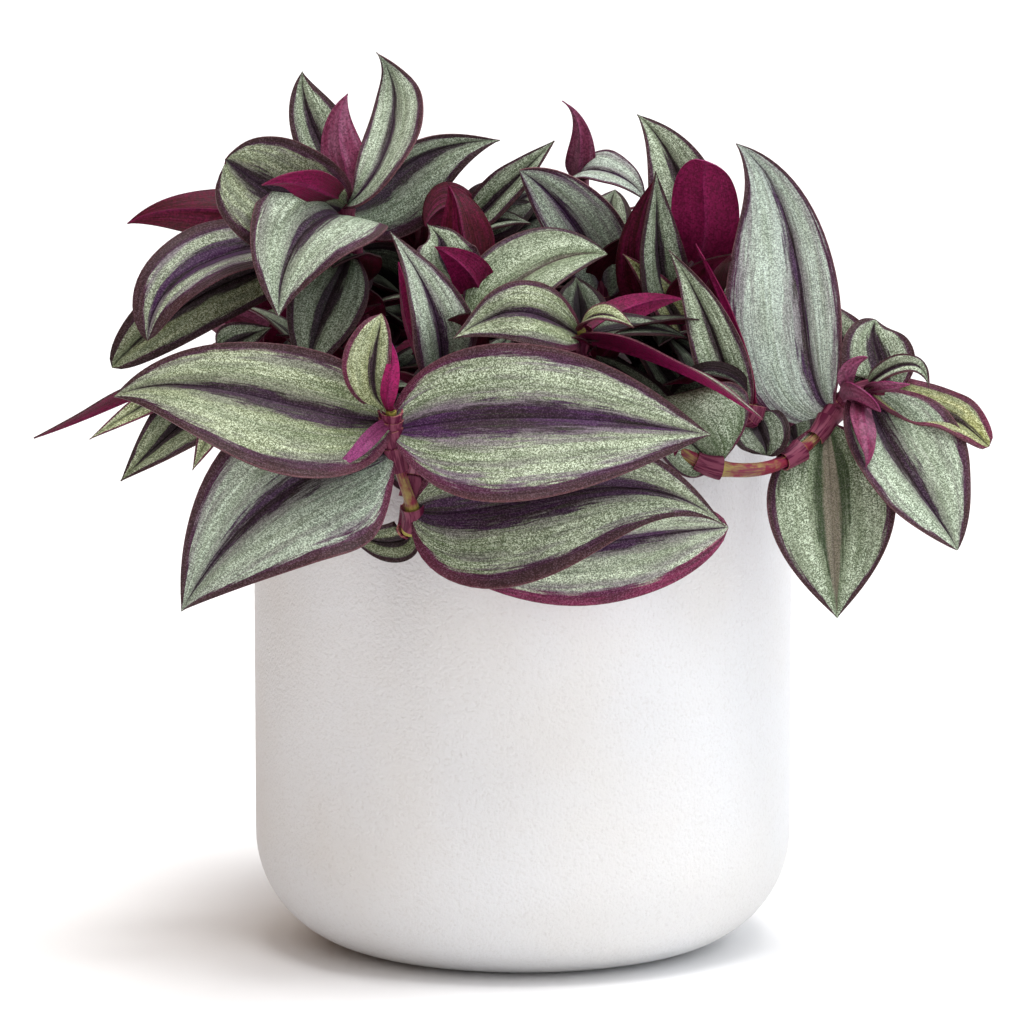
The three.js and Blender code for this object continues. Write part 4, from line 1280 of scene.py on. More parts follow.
@dataclass(frozen=True)
class LeafTopFinish(Finish):
    """The striped upper side of a leaf."""

    name: str = "leaf_upper_side"
    cells_per_metre: float = 4400.0
    gloss: Pair = (0.33, 0.5)
    shine: float = 0.12
    stripe_roughness: float = 0.04
    patches_per_metre: float = 90.0
    broad: Streaks = Streaks(0.55, 0.1)
    narrow: Streaks = Streaks(2.2, 0.06)
    ribs: Streaks = Streaks(1.5, 0.02)
    broad_share: float = 0.6  # of the ragged outlines
    rib_relief: Relief = Relief(0.0003, 0.55)
    cell_relief: Relief = Relief(0.00006, 0.3)
    stripe_wander: float = 0.24  # how far its ragged outline strays, as a share of the half leaf
    margin_wander: float = -0.15
    core_wander: float = 0.05
    band_middle: float = 0.55  # where the silver is brightest, from the midrib to the edge
    stripe_at_tip: float = 0.3  # its width there, against the rest of the leaf
    margin_at_tip: float = 2.4
    margin_at_root: float = 0.2
    stripe_cover: float = 0.94
    margin_cover: float = 0.95
    silver: Colour = paint("839071")
    bright: Colour = paint("c6d2bb")
    frosted: Colour = paint("b8c5be")
    leaf_green: Colour = paint("465c2e")
    pale_yellow: Colour = paint("c3c084")
    yellow_green: Colour = paint("8c8c40")
    lilac: Colour = paint("806a80")
    stripe: Colour = paint("2c1722")
    stripe_violet: Colour = paint("400e48")
    stripe_brown: Colour = paint("87806f")
    stripe_flank: Colour = paint("3b4a30")
    margin: Colour = paint("372022")
    margin_violet: Colour = paint("42183c")
    magenta: Colour = paint("7a184a")
    edge_line: Colour = paint("70484e")
    wine: Colour = paint("721040")
    maroon: Colour = paint("44121b")
    rose: Colour = paint("8c4070")
    crease: Colour = paint("1f1419")

    def draw(self, graph: Graph, effects: Effects) -> tuple[Socket, Socket, Socket]:
        """Draws the surface.

        Args:
            graph: The material's node tree.
            effects: The shared node groups.

        Returns:
            Its colour, its roughness and its normal.
        """
        across, along = graph.own_map()
        edge = graph.away(graph.minus(graph.times(across, 2.0), 1.0))
        side = graph.mark("side")
        where = {"Side": side, "Run": graph.mark("run"), "Seed": graph.mark("seed")}
        broad = effects.streaks(graph, where, self.broad)
        narrow = effects.streaks(graph, where, self.narrow)
        both = graph.plus(graph.times(broad, self.broad_share), graph.times(narrow, 1 - self.broad_share))
        grain = effects.grain(graph, self.cells_per_metre)
        spot = BladeSpot(edge, along, broad, narrow, graph.minus(both, 0.5), grain["Cells"])

        from_stripe = self.past_stripe(graph, spot)
        inward = self.past_margin(graph, spot)
        in_stripe = graph.ease(from_stripe, 0.05, -0.05)
        in_margin = graph.ease(inward, -0.04, 0.035)
        band = self.flush_bands(graph, spot, self.draw_bands(graph, spot), from_stripe, inward)
        specks = graph.ease(spot.cells, 0.6, 1.0, 0.0, 0.17)
        stripe = graph.blend(specks, self.draw_stripe(graph, spot), self.lilac)
        margin = graph.blend(specks, self.draw_margin(graph, spot, inward), self.lilac)
        colour = graph.blend(graph.times(in_stripe, self.stripe_cover), band, stripe)
        colour = graph.blend(graph.times(in_margin, self.margin_cover), colour, margin)
        colour = graph.blend(graph.ease(edge, 0.97, 0.995, 0.0, 0.6), colour, self.edge_line)
        # painted shade: a dark line along the midrib crease, fainter on leaves with a brown centre
        midrib = graph.ease(graph.away(side), 0.34, 0.1)
        crease_shade = graph.times(midrib, graph.ease(graph.mark("brown"), 0.0, 1.0, 0.5, 0.12))
        colour = graph.blend(crease_shade, colour, self.crease)
        colour = graph.blend(graph.mark("wine"), colour, self.draw_purple(graph, spot))
        # painted light and shade: each leaf's light value brightens or darkens its upper side
        light = graph.times(graph.mark("light"), graph.ease(spot.cells, 0.0, 1.0, 0.56, 1.24))
        light = graph.times(light, graph.ease(broad, 0.0, 1.0, 0.92, 1.06))

        rough = graph.ease(spot.cells, 0.0, 1.0, *self.gloss)
        rough = graph.plus(rough, graph.times(in_stripe, self.stripe_roughness))
        ribbed = graph.relief(effects.streaks(graph, where, self.ribs), self.rib_relief)
        return graph.lit(colour, light), rough, graph.relief(grain["Domes"], self.cell_relief, ribbed)

    def past_stripe(self, graph: Graph, spot: BladeSpot) -> Socket:
        """Works out how far a spot is outside the middle stripe, which narrows towards the tip.

        Args:
            graph: The material's node tree.
            spot: The spot on the blade.

        Returns:
            The distance, below 0 in the stripe, as a share of the half leaf.
        """
        reach = graph.times(graph.mark("stripe"), graph.ease(spot.along, 0.45, 1.0, 1.0, self.stripe_at_tip))
        reach = graph.plus(reach, graph.times(spot.ragged, self.stripe_wander))
        return graph.minus(spot.edge, reach)

    def past_margin(self, graph: Graph, spot: BladeSpot) -> Socket:
        """Works out how far a spot is in the dark margin, which widens at the tip and the root.

        Args:
            graph: The material's node tree.
            spot: The spot on the blade.

        Returns:
            The distance, above 0 in the margin, as a share of the half leaf.
        """
        rim = graph.times(graph.mark("margin"), graph.ease(spot.along, 0.72, 1.0, 1.0, self.margin_at_tip))
        rim = graph.plus(rim, graph.ease(spot.along, 0.14, 0.0, 0.0, self.margin_at_root))
        rim = graph.plus(rim, graph.times(spot.ragged, self.margin_wander))
        return graph.minus(graph.plus(spot.edge, rim), 1.0)

    def draw_bands(self, graph: Graph, spot: BladeSpot) -> Socket:
        """Draws the silver bands.

        Args:
            graph: The material's node tree.
            spot: The spot on the blade.

        Returns:
            Silver, greener in patches and greener and darker near the root (the leaf's own greener base with
            painted shade), with bright cells and a pale bloom.
        """
        patches = graph.noise(graph.place(), self.patches_per_metre, 3.0, 0.6)
        # greener and darker towards the root: the leaf's own greener base with painted shade
        near_root = graph.ease(spot.along, 0.62, 0.0)
        near_root = graph.times(near_root, graph.ease(spot.narrow, 0.15, 0.85, 1.0, 0.45))
        mottled = graph.times(graph.ease(patches, 0.35, 0.7), graph.plus(spot.narrow, 0.3))
        green_here = graph.plus(graph.times(graph.mark("green"), mottled), near_root, clamp=True)
        band = graph.blend(green_here, self.silver, self.leaf_green)
        yellow_here = graph.times(graph.mark("yellow"), graph.ease(spot.broad, 0.1, 0.9, 0.55, 1.0))
        band = graph.blend(yellow_here, band, self.yellow_green)
        band = graph.blend(graph.ease(spot.narrow, 0.5, 0.0, 0.0, 0.55), band, self.leaf_green)

        from_middle = graph.away(graph.minus(spot.edge, self.band_middle))
        brushed = graph.ease(spot.broad, 0.0, 0.85, 0.5, 1.1)
        brushed = graph.times(brushed, graph.ease(from_middle, 0.42, 0.08, 0.35, 1.0))
        brushed = graph.times(brushed, graph.ease(spot.narrow, 0.1, 0.8, 0.7, 1.0))
        brushed = graph.times(brushed, graph.ease(near_root, 0.0, 1.0, 1.0, 0.45))
        glints = graph.times(graph.ease(spot.cells, 0.25, 0.95, 0.12, 1.0), brushed, clamp=True)
        glint = graph.blend(graph.times(yellow_here, 0.7), self.bright, self.pale_yellow)
        band = graph.blend(glints, band, glint)
        bloom = graph.times(graph.mark("frost"), graph.ease(spot.broad, 0.0, 1.0, 0.6, 1.0))
        return graph.blend(bloom, band, self.frosted)

    def flush_bands(
        self, graph: Graph, spot: BladeSpot, band: Socket, from_stripe: Socket, inward: Socket
    ) -> Socket:
        """Lays a violet flush on the bands, beside the stripe and the margin.

        Args:
            graph: The material's node tree.
            spot: The spot on the blade.
            band: The bands' colour.
            from_stripe: How far the spot is outside the stripe.
            inward: How far it is in the margin.

        Returns:
            The flushed colour.
        """
        beside = graph.maths("MAXIMUM", graph.ease(inward, -0.42, 0.02), graph.ease(from_stripe, 0.34, 0.0))
        flush = graph.times(beside, graph.ease(spot.broad, 0.75, 0.2, 0.15, 1.0))
        flush = graph.times(flush, graph.times(graph.mark("violet"), 0.85), clamp=True)
        return graph.blend(flush, band, self.lilac)

    def draw_stripe(self, graph: Graph, spot: BladeSpot) -> Socket:
        """Draws the middle stripe.

        Args:
            graph: The material's node tree.
            spot: The spot on the blade.

        Returns:
            Its colour, violet in places or brown with green flanks.
        """
        violet_here = graph.times(graph.mark("violet"), graph.ease(spot.broad, 0.2, 0.8), clamp=True)
        stripe = graph.blend(violet_here, self.stripe, self.stripe_violet)
        core = graph.plus(spot.edge, graph.times(spot.ragged, self.core_wander))
        core = graph.blend(graph.ease(core, 0.1, 0.16), self.stripe_brown, self.stripe_flank)
        stripe = graph.blend(graph.times(graph.mark("brown"), 0.92), stripe, core)
        return graph.blend(graph.ease(spot.narrow, 0.6, 1.0, 0.0, 0.25), stripe, self.leaf_green)

    def draw_margin(self, graph: Graph, spot: BladeSpot, inward: Socket) -> Socket:
        """Draws the margin.

        Args:
            graph: The material's node tree.
            spot: The spot on the blade.
            inward: How far it is in the margin.

        Returns:
            Its colour, violet along its inner side and magenta in places.
        """
        margin = graph.blend(graph.ease(inward, 0.12, 0.0), self.margin, self.margin_violet)
        pink_here = graph.times(graph.mark("pink"), graph.ease(spot.broad, 0.1, 0.9, 0.35, 0.9))
        pink_here = graph.plus(pink_here, graph.ease(spot.along, 0.28, 0.02, 0.0, 0.35), clamp=True)
        return graph.blend(pink_here, margin, self.magenta)

    def draw_purple(self, graph: Graph, spot: BladeSpot) -> Socket:
        """Draws the young leaves that are purple all over.

        Args:
            graph: The material's node tree.
            spot: The spot on the blade.

        Returns:
            Their colour, darkened towards the root with painted shade.
        """
        purple = graph.blend(graph.ease(spot.narrow, 0.0, 1.0, 0.0, 0.22), self.wine, self.maroon)
        purple = graph.blend(graph.mark("brown"), purple, self.maroon)
        purple = graph.blend(graph.ease(graph.mark("pink"), 0.3, 1.0), purple, self.rose)
        # painted shade: the purple darkens to maroon towards the root
        return graph.blend(graph.ease(spot.along, 0.75, 0.0, 0.0, 0.55), purple, self.maroon)


@dataclass(frozen=True)
class LeafUnderFinish(Finish):
    """The wine-red underside of a leaf."""

    name: str = "leaf_underside"
    cells_per_metre: float = 2400.0
    gloss: Pair = (0.36, 0.5)
    shine: float = 0.12
    broad: Streaks = Streaks(0.4, 0.15)
    narrow: Streaks = Streaks(2.4, 0.03)
    rib_relief: Relief = Relief(0.00015, 0.4)
    maroon: Colour = paint("3e0b16")
    magenta: Colour = paint("70103e")
    bright: Colour = paint("921a56")
    bloomed: Colour = paint("93627a")
    vein: Colour = paint("7c2052")

    def draw(self, graph: Graph, effects: Effects) -> tuple[Socket, Socket, Socket]:
        """Draws the surface.

        Args:
            graph: The material's node tree.
            effects: The shared node groups.

        Returns:
            Its colour, its roughness and its normal.
        """
        side = graph.mark("side")
        where = {"Side": side, "Run": graph.mark("run"), "Seed": graph.mark("seed")}
        broad = effects.streaks(graph, where, self.broad)
        narrow = effects.streaks(graph, where, self.narrow)
        cells = effects.grain(graph, self.cells_per_metre)["Cells"]
        redness = graph.plus(graph.mark("under"), graph.ease(broad, 0.0, 1.0, -0.25, 0.25), clamp=True)
        red = graph.blend(redness, self.maroon, self.magenta)
        red = graph.blend(graph.ease(graph.mark("pink"), 0.4, 1.0, 0.0, 0.85), red, self.bright)
        red = graph.blend(graph.ease(narrow, 0.6, 1.0, 0.0, 0.3), red, self.vein)
        _, along = graph.own_map()
        # painted shade: the underside darkens to maroon towards the root
        red = graph.blend(graph.ease(along, 0.6, 0.0, 0.0, 0.65), red, self.maroon)
        bloom = graph.ease(graph.mark("frost"), 0.1, 0.5, 0.0, 0.5)
        bloom = graph.times(bloom, graph.ease(broad, 0.1, 0.9, 0.35, 1.3), clamp=True)
        red = graph.blend(bloom, red, self.bloomed)
        red = graph.blend(graph.ease(graph.away(side), 0.7, 0.2, 0.0, 0.3), red, self.vein)
        colour = graph.lit(red, graph.ease(cells, 0.0, 1.0, 0.64, 1.3))
        return colour, graph.ease(cells, 0.0, 1.0, *self.gloss), graph.relief(narrow, self.rib_relief)


@dataclass(frozen=True)
class SheathFinish(Finish):
    """The papery sheath at a leaf's root, striped lengthwise."""

    cells_per_metre: float = 3000.0
    gloss: Pair = (0.4, 0.55)
    shine: float = 0.15
    across: float = 12.0  # millimetres round the sheath
    length: float = 6.0
    lines: Streaks = Streaks(1.6, 0.08)
    line_relief: Relief = Relief(0.0002, 0.5)
    pale: Colour = paint("9c6c5c")
    stripe: Colour = paint("6a1a40")

    def draw(self, graph: Graph, effects: Effects) -> tuple[Socket, Socket, Socket]:
        """Draws the surface.

        Args:
            graph: The material's node tree.
            effects: The shared node groups.

        Returns:
            Its colour, its roughness and its normal.
        """
        across, along = graph.own_map()
        round_it, run = graph.times(across, self.across), graph.times(along, self.length)
        where = {"Side": round_it, "Run": run, "Seed": graph.mark("seed")}
        lines = effects.streaks(graph, where, self.lines)
        cells = effects.grain(graph, self.cells_per_metre)["Cells"]
        colour = graph.blend(graph.ease(lines, 0.25, 0.75), self.pale, self.stripe)
        return colour, graph.ease(cells, 0.0, 1.0, *self.gloss), graph.relief(lines, self.line_relief)


@dataclass(frozen=True)
class StemFinish(Finish):
    """The juicy stem, reddish between its joints and yellow-green at them."""

    name: str = "stem_skin"
    cells_per_metre: float = 2600.0
    gloss: Pair = (0.3, 0.45)
    shine: float = 0.2
    across: float = 12.0  # millimetres round the stem
    patches_per_metre: float = 240.0
    lines: Streaks = Streaks(1.1, 0.1)
    line_relief: Relief = Relief(0.0004, 0.7)
    red: Colour = paint("7a2234")
    green: Colour = paint("8f7c48")
    joint: Colour = paint("aba34e")
    blush: Colour = paint("6e1a40")

    def draw(self, graph: Graph, effects: Effects) -> tuple[Socket, Socket, Socket]:
        """Draws the surface.

        Args:
            graph: The material's node tree.
            effects: The shared node groups.

        Returns:
            Its colour, its roughness and its normal.
        """
        across, _ = graph.own_map()
        round_it = graph.times(across, self.across)
        where = {"Side": round_it, "Run": graph.mark("run"), "Seed": graph.mark("seed")}
        lines = effects.streaks(graph, where, self.lines)
        cells = effects.grain(graph, self.cells_per_metre)["Cells"]
        patches = graph.noise(graph.place(), self.patches_per_metre, 3.0, 0.6)
        colour = graph.blend(graph.ease(patches, 0.38, 0.58), self.green, self.red)
        colour = graph.blend(graph.ease(lines, 0.3, 0.9, 0.0, 0.85), colour, self.blush)
        colour = graph.blend(graph.ease(graph.mark("node"), 0.3, 0.9, 0.0, 0.8), colour, self.joint)
        return colour, graph.ease(cells, 0.0, 1.0, *self.gloss), graph.relief(lines, self.line_relief)


@dataclass(frozen=True)
class PotFinish(Finish):
    """Matt white cast pot, with the faint grit of its coat."""

    name: str = "matt_white_coat"
    cells_per_metre: float = 1500.0
    gloss: Pair = (0.52, 0.62)
    shine: float = 0.35
    clouds_per_metre: float = 22.0
    grit_per_metre: float = 1150.0
    grit_relief: Relief = Relief(0.00034, 1.0)
    cast_relief: Relief = Relief(0.0001, 0.4)
    white: Colour = paint("dbdbdc")
    warm: Colour = paint("dad8d6")
    pit_shade: Colour = paint("c9c6c3")

    def draw(self, graph: Graph, effects: Effects) -> tuple[Socket, Socket, Socket]:
        """Draws the surface.

        Args:
            graph: The material's node tree.
            effects: The shared node groups.

        Returns:
            Its colour, its roughness and its normal.
        """
        place = graph.place()
        cloudy = graph.noise(place, self.clouds_per_metre, 3.0, 0.5)
        grit = graph.noise(place, self.grit_per_metre, 3.0, 0.6)
        domes = effects.grain(graph, self.cells_per_metre)["Domes"]
        colour = graph.blend(graph.ease(cloudy, 0.35, 0.7), self.white, self.warm)
        # painted shade: a darker colour in the dents of the grit relief
        colour = graph.blend(graph.ease(grit, 0.5, 0.25, 0.0, 0.45), colour, self.pit_shade)
        normal = graph.relief(domes, self.cast_relief, graph.relief(grit, self.grit_relief))
        return colour, graph.ease(cloudy, 0.3, 0.7, *self.gloss), normal


@dataclass(frozen=True)
class SoilFinish(Finish):
    """Dark crumbly potting soil with a few pale bits."""

    name: str = "potting_soil"
    cells_per_metre: float = 420.0
    gloss: Pair = (0.8, 0.98)
    lumps_per_metre: float = 240.0
    lump_relief: Relief = Relief(0.0008, 0.9)
    dark: Colour = paint("1f1711")
    brown: Colour = paint("41301f")
    bark: Colour = paint("6a5136")

    def draw(self, graph: Graph, effects: Effects) -> tuple[Socket, Socket, Socket]:
        """Draws the surface.

        Args:
            graph: The material's node tree.
            effects: The shared node groups.

        Returns:
            Its colour, its roughness and its normal.
        """
        crumbs = effects.grain(graph, self.cells_per_metre)["Cells"]
        lumps = graph.noise(graph.place(), self.lumps_per_metre, 5.0, 0.65)
        colour = graph.blend(graph.ease(lumps, 0.35, 0.7), self.dark, self.brown)
        colour = graph.blend(graph.ease(crumbs, 0.86, 0.9, 0.0, 0.7), colour, self.bark)
        return colour, graph.ease(lumps, 0.3, 0.7, *self.gloss), graph.relief(lumps, self.lump_relief)


# ---------------------------------------------------------------- the parts


@dataclass
class Pot:
    """The round-bottomed cylinder pot."""

    finish: bpy.types.Material
    radius: float = 70.0
    height: float = 136.0
    wall: float = 4.0
    corner: float = 30.0
    rim_round: float = 1.6
    flat_share: float = 0.5  # the middle face of the foot, as a share of the flat
    sides: int = 160
    corner_rings: int = 20
    rim_rings: int = 6
    wall_rings: int = 6
    smooth_below: float = 35.0  # degrees between faces

    def profile(self) -> list[Pair]:
        """Returns the radius and height of each ring, from under the pot to inside it."""
        inner = self.radius - self.wall
        flat = self.radius - self.corner
        top = self.height - self.rim_round
        steps = [step / self.wall_rings for step in range(1, self.wall_rings)]
        rings = [(flat * self.flat_share, 0.0)]
        rings += self.arc(flat, self.corner, self.corner, -90, 0, self.corner_rings)
        rings += [(self.radius, lerp(self.corner, top, share)) for share in steps]
        rings += self.arc(self.radius - self.rim_round, top, self.rim_round, 0, 90, self.rim_rings)
        rings += self.arc(inner + self.rim_round, top, self.rim_round, 90, 180, self.rim_rings)
        rings += self.arc(flat, self.corner, self.corner - self.wall, 0, -90, self.corner_rings)
        rings += [(flat * self.flat_share, self.wall)]
        return rings

    @staticmethod
    def arc(centre: float, height: float, radius: float, start: float, end: float, steps: int) -> list[Pair]:
        """Returns the rings of a rounded corner, from one angle to another (degrees)."""
        angles = [math.radians(lerp(start, end, step / steps)) for step in range(steps + 1)]
        return [(centre + radius * math.cos(angle), height + radius * math.sin(angle)) for angle in angles]

    def build(self) -> bpy.types.Object:
        """Makes the pot ring by ring from its underside, and dresses it."""
        rings = self.profile()
        clear_selection()
        bpy.ops.mesh.primitive_circle_add(
            vertices=self.sides, radius=rings[0][0] * METRES, fill_type="NGON", calc_uvs=False
        )
        pot = bpy.context.object
        pot.name = "visual_pot"
        only(pot)
        bpy.ops.object.mode_set(mode="EDIT")
        bpy.ops.mesh.select_all(action="SELECT")
        for (last_radius, last_height), (radius, height) in zip(rings, rings[1:]):
            rise = (0, 0, (height - last_height) * METRES)
            bpy.ops.mesh.extrude_region_move(TRANSFORM_OT_translate={"value": rise})
            share = radius / last_radius
            bpy.ops.transform.resize(value=(share, share, 1), center_override=(0, 0, height * METRES))
        bpy.ops.mesh.select_all(action="SELECT")
        bpy.ops.mesh.remove_doubles(threshold=WELD)
        bpy.ops.mesh.normals_make_consistent(inside=False)
        bpy.ops.object.mode_set(mode="OBJECT")
        bpy.ops.object.shade_smooth_by_angle(angle=math.radians(self.smooth_below))
        pot.data.materials.append(self.finish)
        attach(pot, BODY)
        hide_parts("pot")
        LOG.info("pot: %d faces", len(pot.data.polygons))
        return pot


@dataclass
class Soil:
    """The soil in the pot, with crumbs on it."""

    finish: bpy.types.Material
    radius: float = 65.7
    edge_height: float = 120.0
    top_height: float = 121.0
    flat_radius: float = 35.0
    body: tuple[Pair, ...] = (
        (0, 4.3), (40, 4.3), (53, 9), (61, 17), (65.2, 26), (65.7, 34), (65.7, 80), (65.7, 119)
    )  # radius and height of the rings inside the pot
    lump_height: float = 1.0
    lump_size: float = 4.0
    lump_fade: float = 2.0  # the strip at the edge where the lumps die out
    lump_fractal: tuple[float, float, int] = (0.8, 2.0, 4)  # smoothness, step in size and octaves
    sides: int = 120
    rings: int = 34
    crumbs: int = 420
    crumb_size: Pair = (0.9, 0.55)  # the usual radius, and how far it may differ
    crumb_shape: Point = (1.0, 0.75, 0.6)
    crumb_dents: float = 0.45
    dents_per_metre: float = 900.0
    crumb_lift: float = 0.2  # share of a crumb's size that it stands higher by
    crumb_inset: float = 2.5
    crumb_slope: float = 31.0  # how far out from the flat the crumbs' ground falls
    most_turn: float = 3.0  # radians
    seed: int = 5
    smooth_below: float = 60.0  # degrees between faces

    def build(self) -> bpy.types.Object:
        """Makes the soil's crumbly top over a plain body, and dresses it."""
        sheet = start_sheet("soil_body", self.sides, self.rings)
        angle = sheet.column(self.sides) / self.sides * 2 * np.pi
        row = sheet.row(self.rings)
        outline = self.outline()
        radius, height = outline[row, 0], outline[row, 1]
        points = np.stack([radius * np.cos(angle), radius * np.sin(angle), height], 1)
        for index in np.nonzero(row >= len(self.body))[0]:
            x, y, _ = points[index]
            lump = noise.fractal(Vector((x / self.lump_size, y / self.lump_size, 0.0)), *self.lump_fractal)
            fade = min(1.0, (self.radius - radius[index]) / self.lump_fade)
            points[index, 2] += self.lump_height * lump * fade
        sheet.write(points, 0)
        edit(
            sheet.thing,
            (bpy.ops.mesh.remove_doubles, {"threshold": WELD}),
            (bpy.ops.mesh.normals_make_consistent, {"inside": False}),
        )
        soil = join([sheet.thing, *self.scatter()], "visual_soil")
        only(soil)
        bpy.ops.object.shade_smooth_by_angle(angle=math.radians(self.smooth_below))
        soil.data.materials.clear()
        soil.data.materials.append(self.finish)
        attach(soil, BODY)
        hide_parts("soil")
        LOG.info("soil: %d faces", len(soil.data.polygons))
        return soil

    def outline(self) -> np.ndarray:
        """Returns the radius and height of each ring, from under the soil to its middle."""
        last = self.rings - len(self.body)
        top = []
        for step in range(last + 1):
            radius = self.radius * (1 - step / last)
            rise = 1 - max(0.0, (radius - self.flat_radius) / (self.radius - self.flat_radius))
            top.append((radius, lerp(self.edge_height, self.top_height, rise)))
        return np.array([*self.body, *top], float)

    def scatter(self) -> list[bpy.types.Object]:
        """Makes one crumb and copies it over the soil."""
        clear_selection()
        bpy.ops.mesh.primitive_ico_sphere_add(subdivisions=2, radius=METRES)
        crumb = bpy.context.object
        points = np.zeros(len(crumb.data.vertices) * 3, np.float32)
        crumb.data.vertices.foreach_get("co", points)
        points = points.reshape(-1, 3)
        for point in points:
            point *= 1 + self.crumb_dents * noise.noise(Vector(point) * self.dents_per_metre)
        draws = SeededDraws(self.seed)
        usual, differ = self.crumb_size
        crumbs = []
        for _ in range(self.crumbs):
            radius = (self.radius - self.crumb_inset) * math.sqrt(0.5 + 0.5 * draws.draw())
            angle = math.pi * draws.draw()
            size = usual + differ * draws.draw()
            turns = Euler([self.most_turn * draws.draw() for _ in range(3)])
            squashed = points * np.array(self.crumb_shape) * size
            fall = max(0.0, (radius - self.flat_radius) / self.crumb_slope)
            height = lerp(self.top_height, self.edge_height, fall) + self.crumb_lift * size
            place = np.array([radius * math.cos(angle), radius * math.sin(angle), height]) * METRES
            turned = squashed @ np.array(turns.to_matrix()).T
            copied = crumb.copy()
            copied.data = crumb.data.copy()
            copied.data.vertices.foreach_set("co", (turned + place).astype(np.float32).ravel())
            bpy.context.collection.objects.link(copied)
            crumbs.append(copied)
        bpy.data.objects.remove(crumb)
        return crumbs


@dataclass
class Undergrowth:
    """The small leaves low on the stems, which close the plant's middle; their dark tones are painted shade.
    """

    count: int = 9
    first_at: float = 0.2
    last_at: float = 2.3
    turn: float = 137.5  # degrees from one leaf to the next
    turn_jitter: float = 0.4  # radians
    length: float = 31.0
    length_jitter: float = 7.0
    width_per_length: float = 0.46
    bow: Pair = (0.16, 0.14)  # as shares of the length
    low_rise: float = -8.0
    high_rise: float = 42.0
    rim_height: float = 141.0
    inside_radius: float = 60.0
    outside_radius: float = 74.0
    # painted shade: the dark tones of leaves deep in the foliage
    tones: tuple[Tone, ...] = (Tone.DUSKY_SHADE, Tone.DEEP_SHADE, Tone.DUSKY_SHADE, Tone.SHADED, Tone.DEEP_SHADE)
    seed_per_stem: int = 13
    first_seed: int = 5

    def leaves(self, line: StemLine, number: int) -> list[Leaf]:
        """Places the inner leaves of one stem.

        Args:
            line: The curve of the stem.
            number: The stem's number.

        Returns:
            The leaves.
        """
        draws = SeededDraws(number * self.seed_per_stem + self.first_seed)
        placed = []
        turn = math.pi * draws.draw()
        for count in range(self.count):
            at = lerp(self.first_at, self.last_at, count / (self.count - 1))
            turn += math.radians(self.turn) + self.turn_jitter * draws.draw()
            climb = math.radians(lerp(self.low_rise, self.high_rise, 0.5 + 0.5 * draws.draw()))
            length = self.length + self.length_jitter * draws.draw()
            level = np.array([math.cos(turn), math.sin(turn), 0.0])
            base = line.point(at + 1)
            tip = base + level * length * math.cos(climb) + np.array([0, 0, length * math.sin(climb)])
            tip = self.keep_inside(tip)
            face = -level * math.sin(climb) + np.array([0, 0, math.cos(climb)])
            bow = (self.bow[0] * length, self.bow[1] * length)
            tone = self.tones[(count + number) % len(self.tones)]
            placed.append(Leaf(at, tuple(tip), tuple(face), self.width_per_length * length, bow, tone=tone))
        return placed

    def keep_inside(self, tip: np.ndarray) -> np.ndarray:
        """Keeps a leaf inside the pot's wall, or over it within the foliage.

        Args:
            tip: Where the leaf would end.

        Returns:
            Where it ends.
        """
        limit = self.inside_radius if tip[2] < self.rim_height else self.outside_radius
        reach = math.hypot(tip[0], tip[1])
        if reach <= limit:
            return tip
        return np.array([tip[0] * limit / reach, tip[1] * limit / reach, tip[2]])


@dataclass
class Foliage:
    """All the leafy stems."""

    slots: list[bpy.types.Material]
    blade: LeafForm = field(default_factory=LeafForm)
    stem: StemForm = field(default_factory=StemForm)
    rule: GrowthRule = field(default_factory=GrowthRule)
    undergrowth: Undergrowth = field(default_factory=Undergrowth)
    blade_thickness: float = 0.4
    sheath_thickness: float = 0.3
    smooth_below: float = 55.0  # degrees between faces
    seed_per_stem: int = 31
    seed_per_leaf: int = 7

    def build(self) -> list[bpy.types.Object]:
        """Makes every stem, those listed and those placed by rule."""
        plans = FRONT_STEMS + [self.rule.plan(stem) for stem in BACK_STEMS]
        return [self.grow(plan, number) for number, plan in enumerate(plans, start=1)]

    def grow(self, plan: StemPlan, number: int) -> bpy.types.Object:
        """Makes one stem with its leaves.

        Args:
            plan: Where the stem and its leaves are.
            number: The stem's number, for its small differences.

        Returns:
            The stem's object.
        """
        line = StemLine(plan.route)
        blades, sheaths = [], []
        inner = self.undergrowth.leaves(line, number) + INNER_LEAVES.get(plan.node, [])
        for count, leaf in enumerate(plan.leaves + inner, start=1):
            seed = number * self.seed_per_stem + count * self.seed_per_leaf
            blades.append(self.blade.build(leaf, line.point(leaf.at + 1), seed).thing)
            sheaths.append(self.stem.sheath(line, leaf.at + 1, seed).thing)
        skin = self.stem.stem(line, [leaf.at + 1 for leaf in plan.leaves]).thing
        for thing in [*blades, *sheaths, skin]:
            for slot in self.slots:
                thing.data.materials.append(slot)
        leaves = self.thicken(join(blades, "blades"), self.blade_thickness, 0.0)
        tubes = self.thicken(join(sheaths, "sheaths"), self.sheath_thickness, -1.0)
        whole = join([leaves, tubes, skin], "visual_" + plan.node)
        only(whole)
        bpy.ops.object.shade_smooth_by_angle(angle=math.radians(self.smooth_below))
        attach(whole, BODY)
        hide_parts(plan.node)
        LOG.info("%s: %d leaves, %d faces", plan.node, len(plan.leaves), len(whole.data.polygons))
        return whole

    @staticmethod
    def thicken(sheet: bpy.types.Object, thickness: float, offset: float) -> bpy.types.Object:
        """Gives a sheet its thickness, its other side in the next material slot.

        Args:
            sheet: The sheet's object.
            thickness: In millimetres.
            offset: 0 to both sides, -1 inwards.

        Returns:
            The same object.
        """
        only(sheet)
        modifier = sheet.modifiers.new("thickness", "SOLIDIFY")
        modifier.thickness = thickness * METRES
        modifier.offset = offset
        modifier.material_offset = 1
        bpy.ops.object.modifier_apply(modifier=modifier.name)
        return sheet


# ---------------------------------------------------------------- the studio


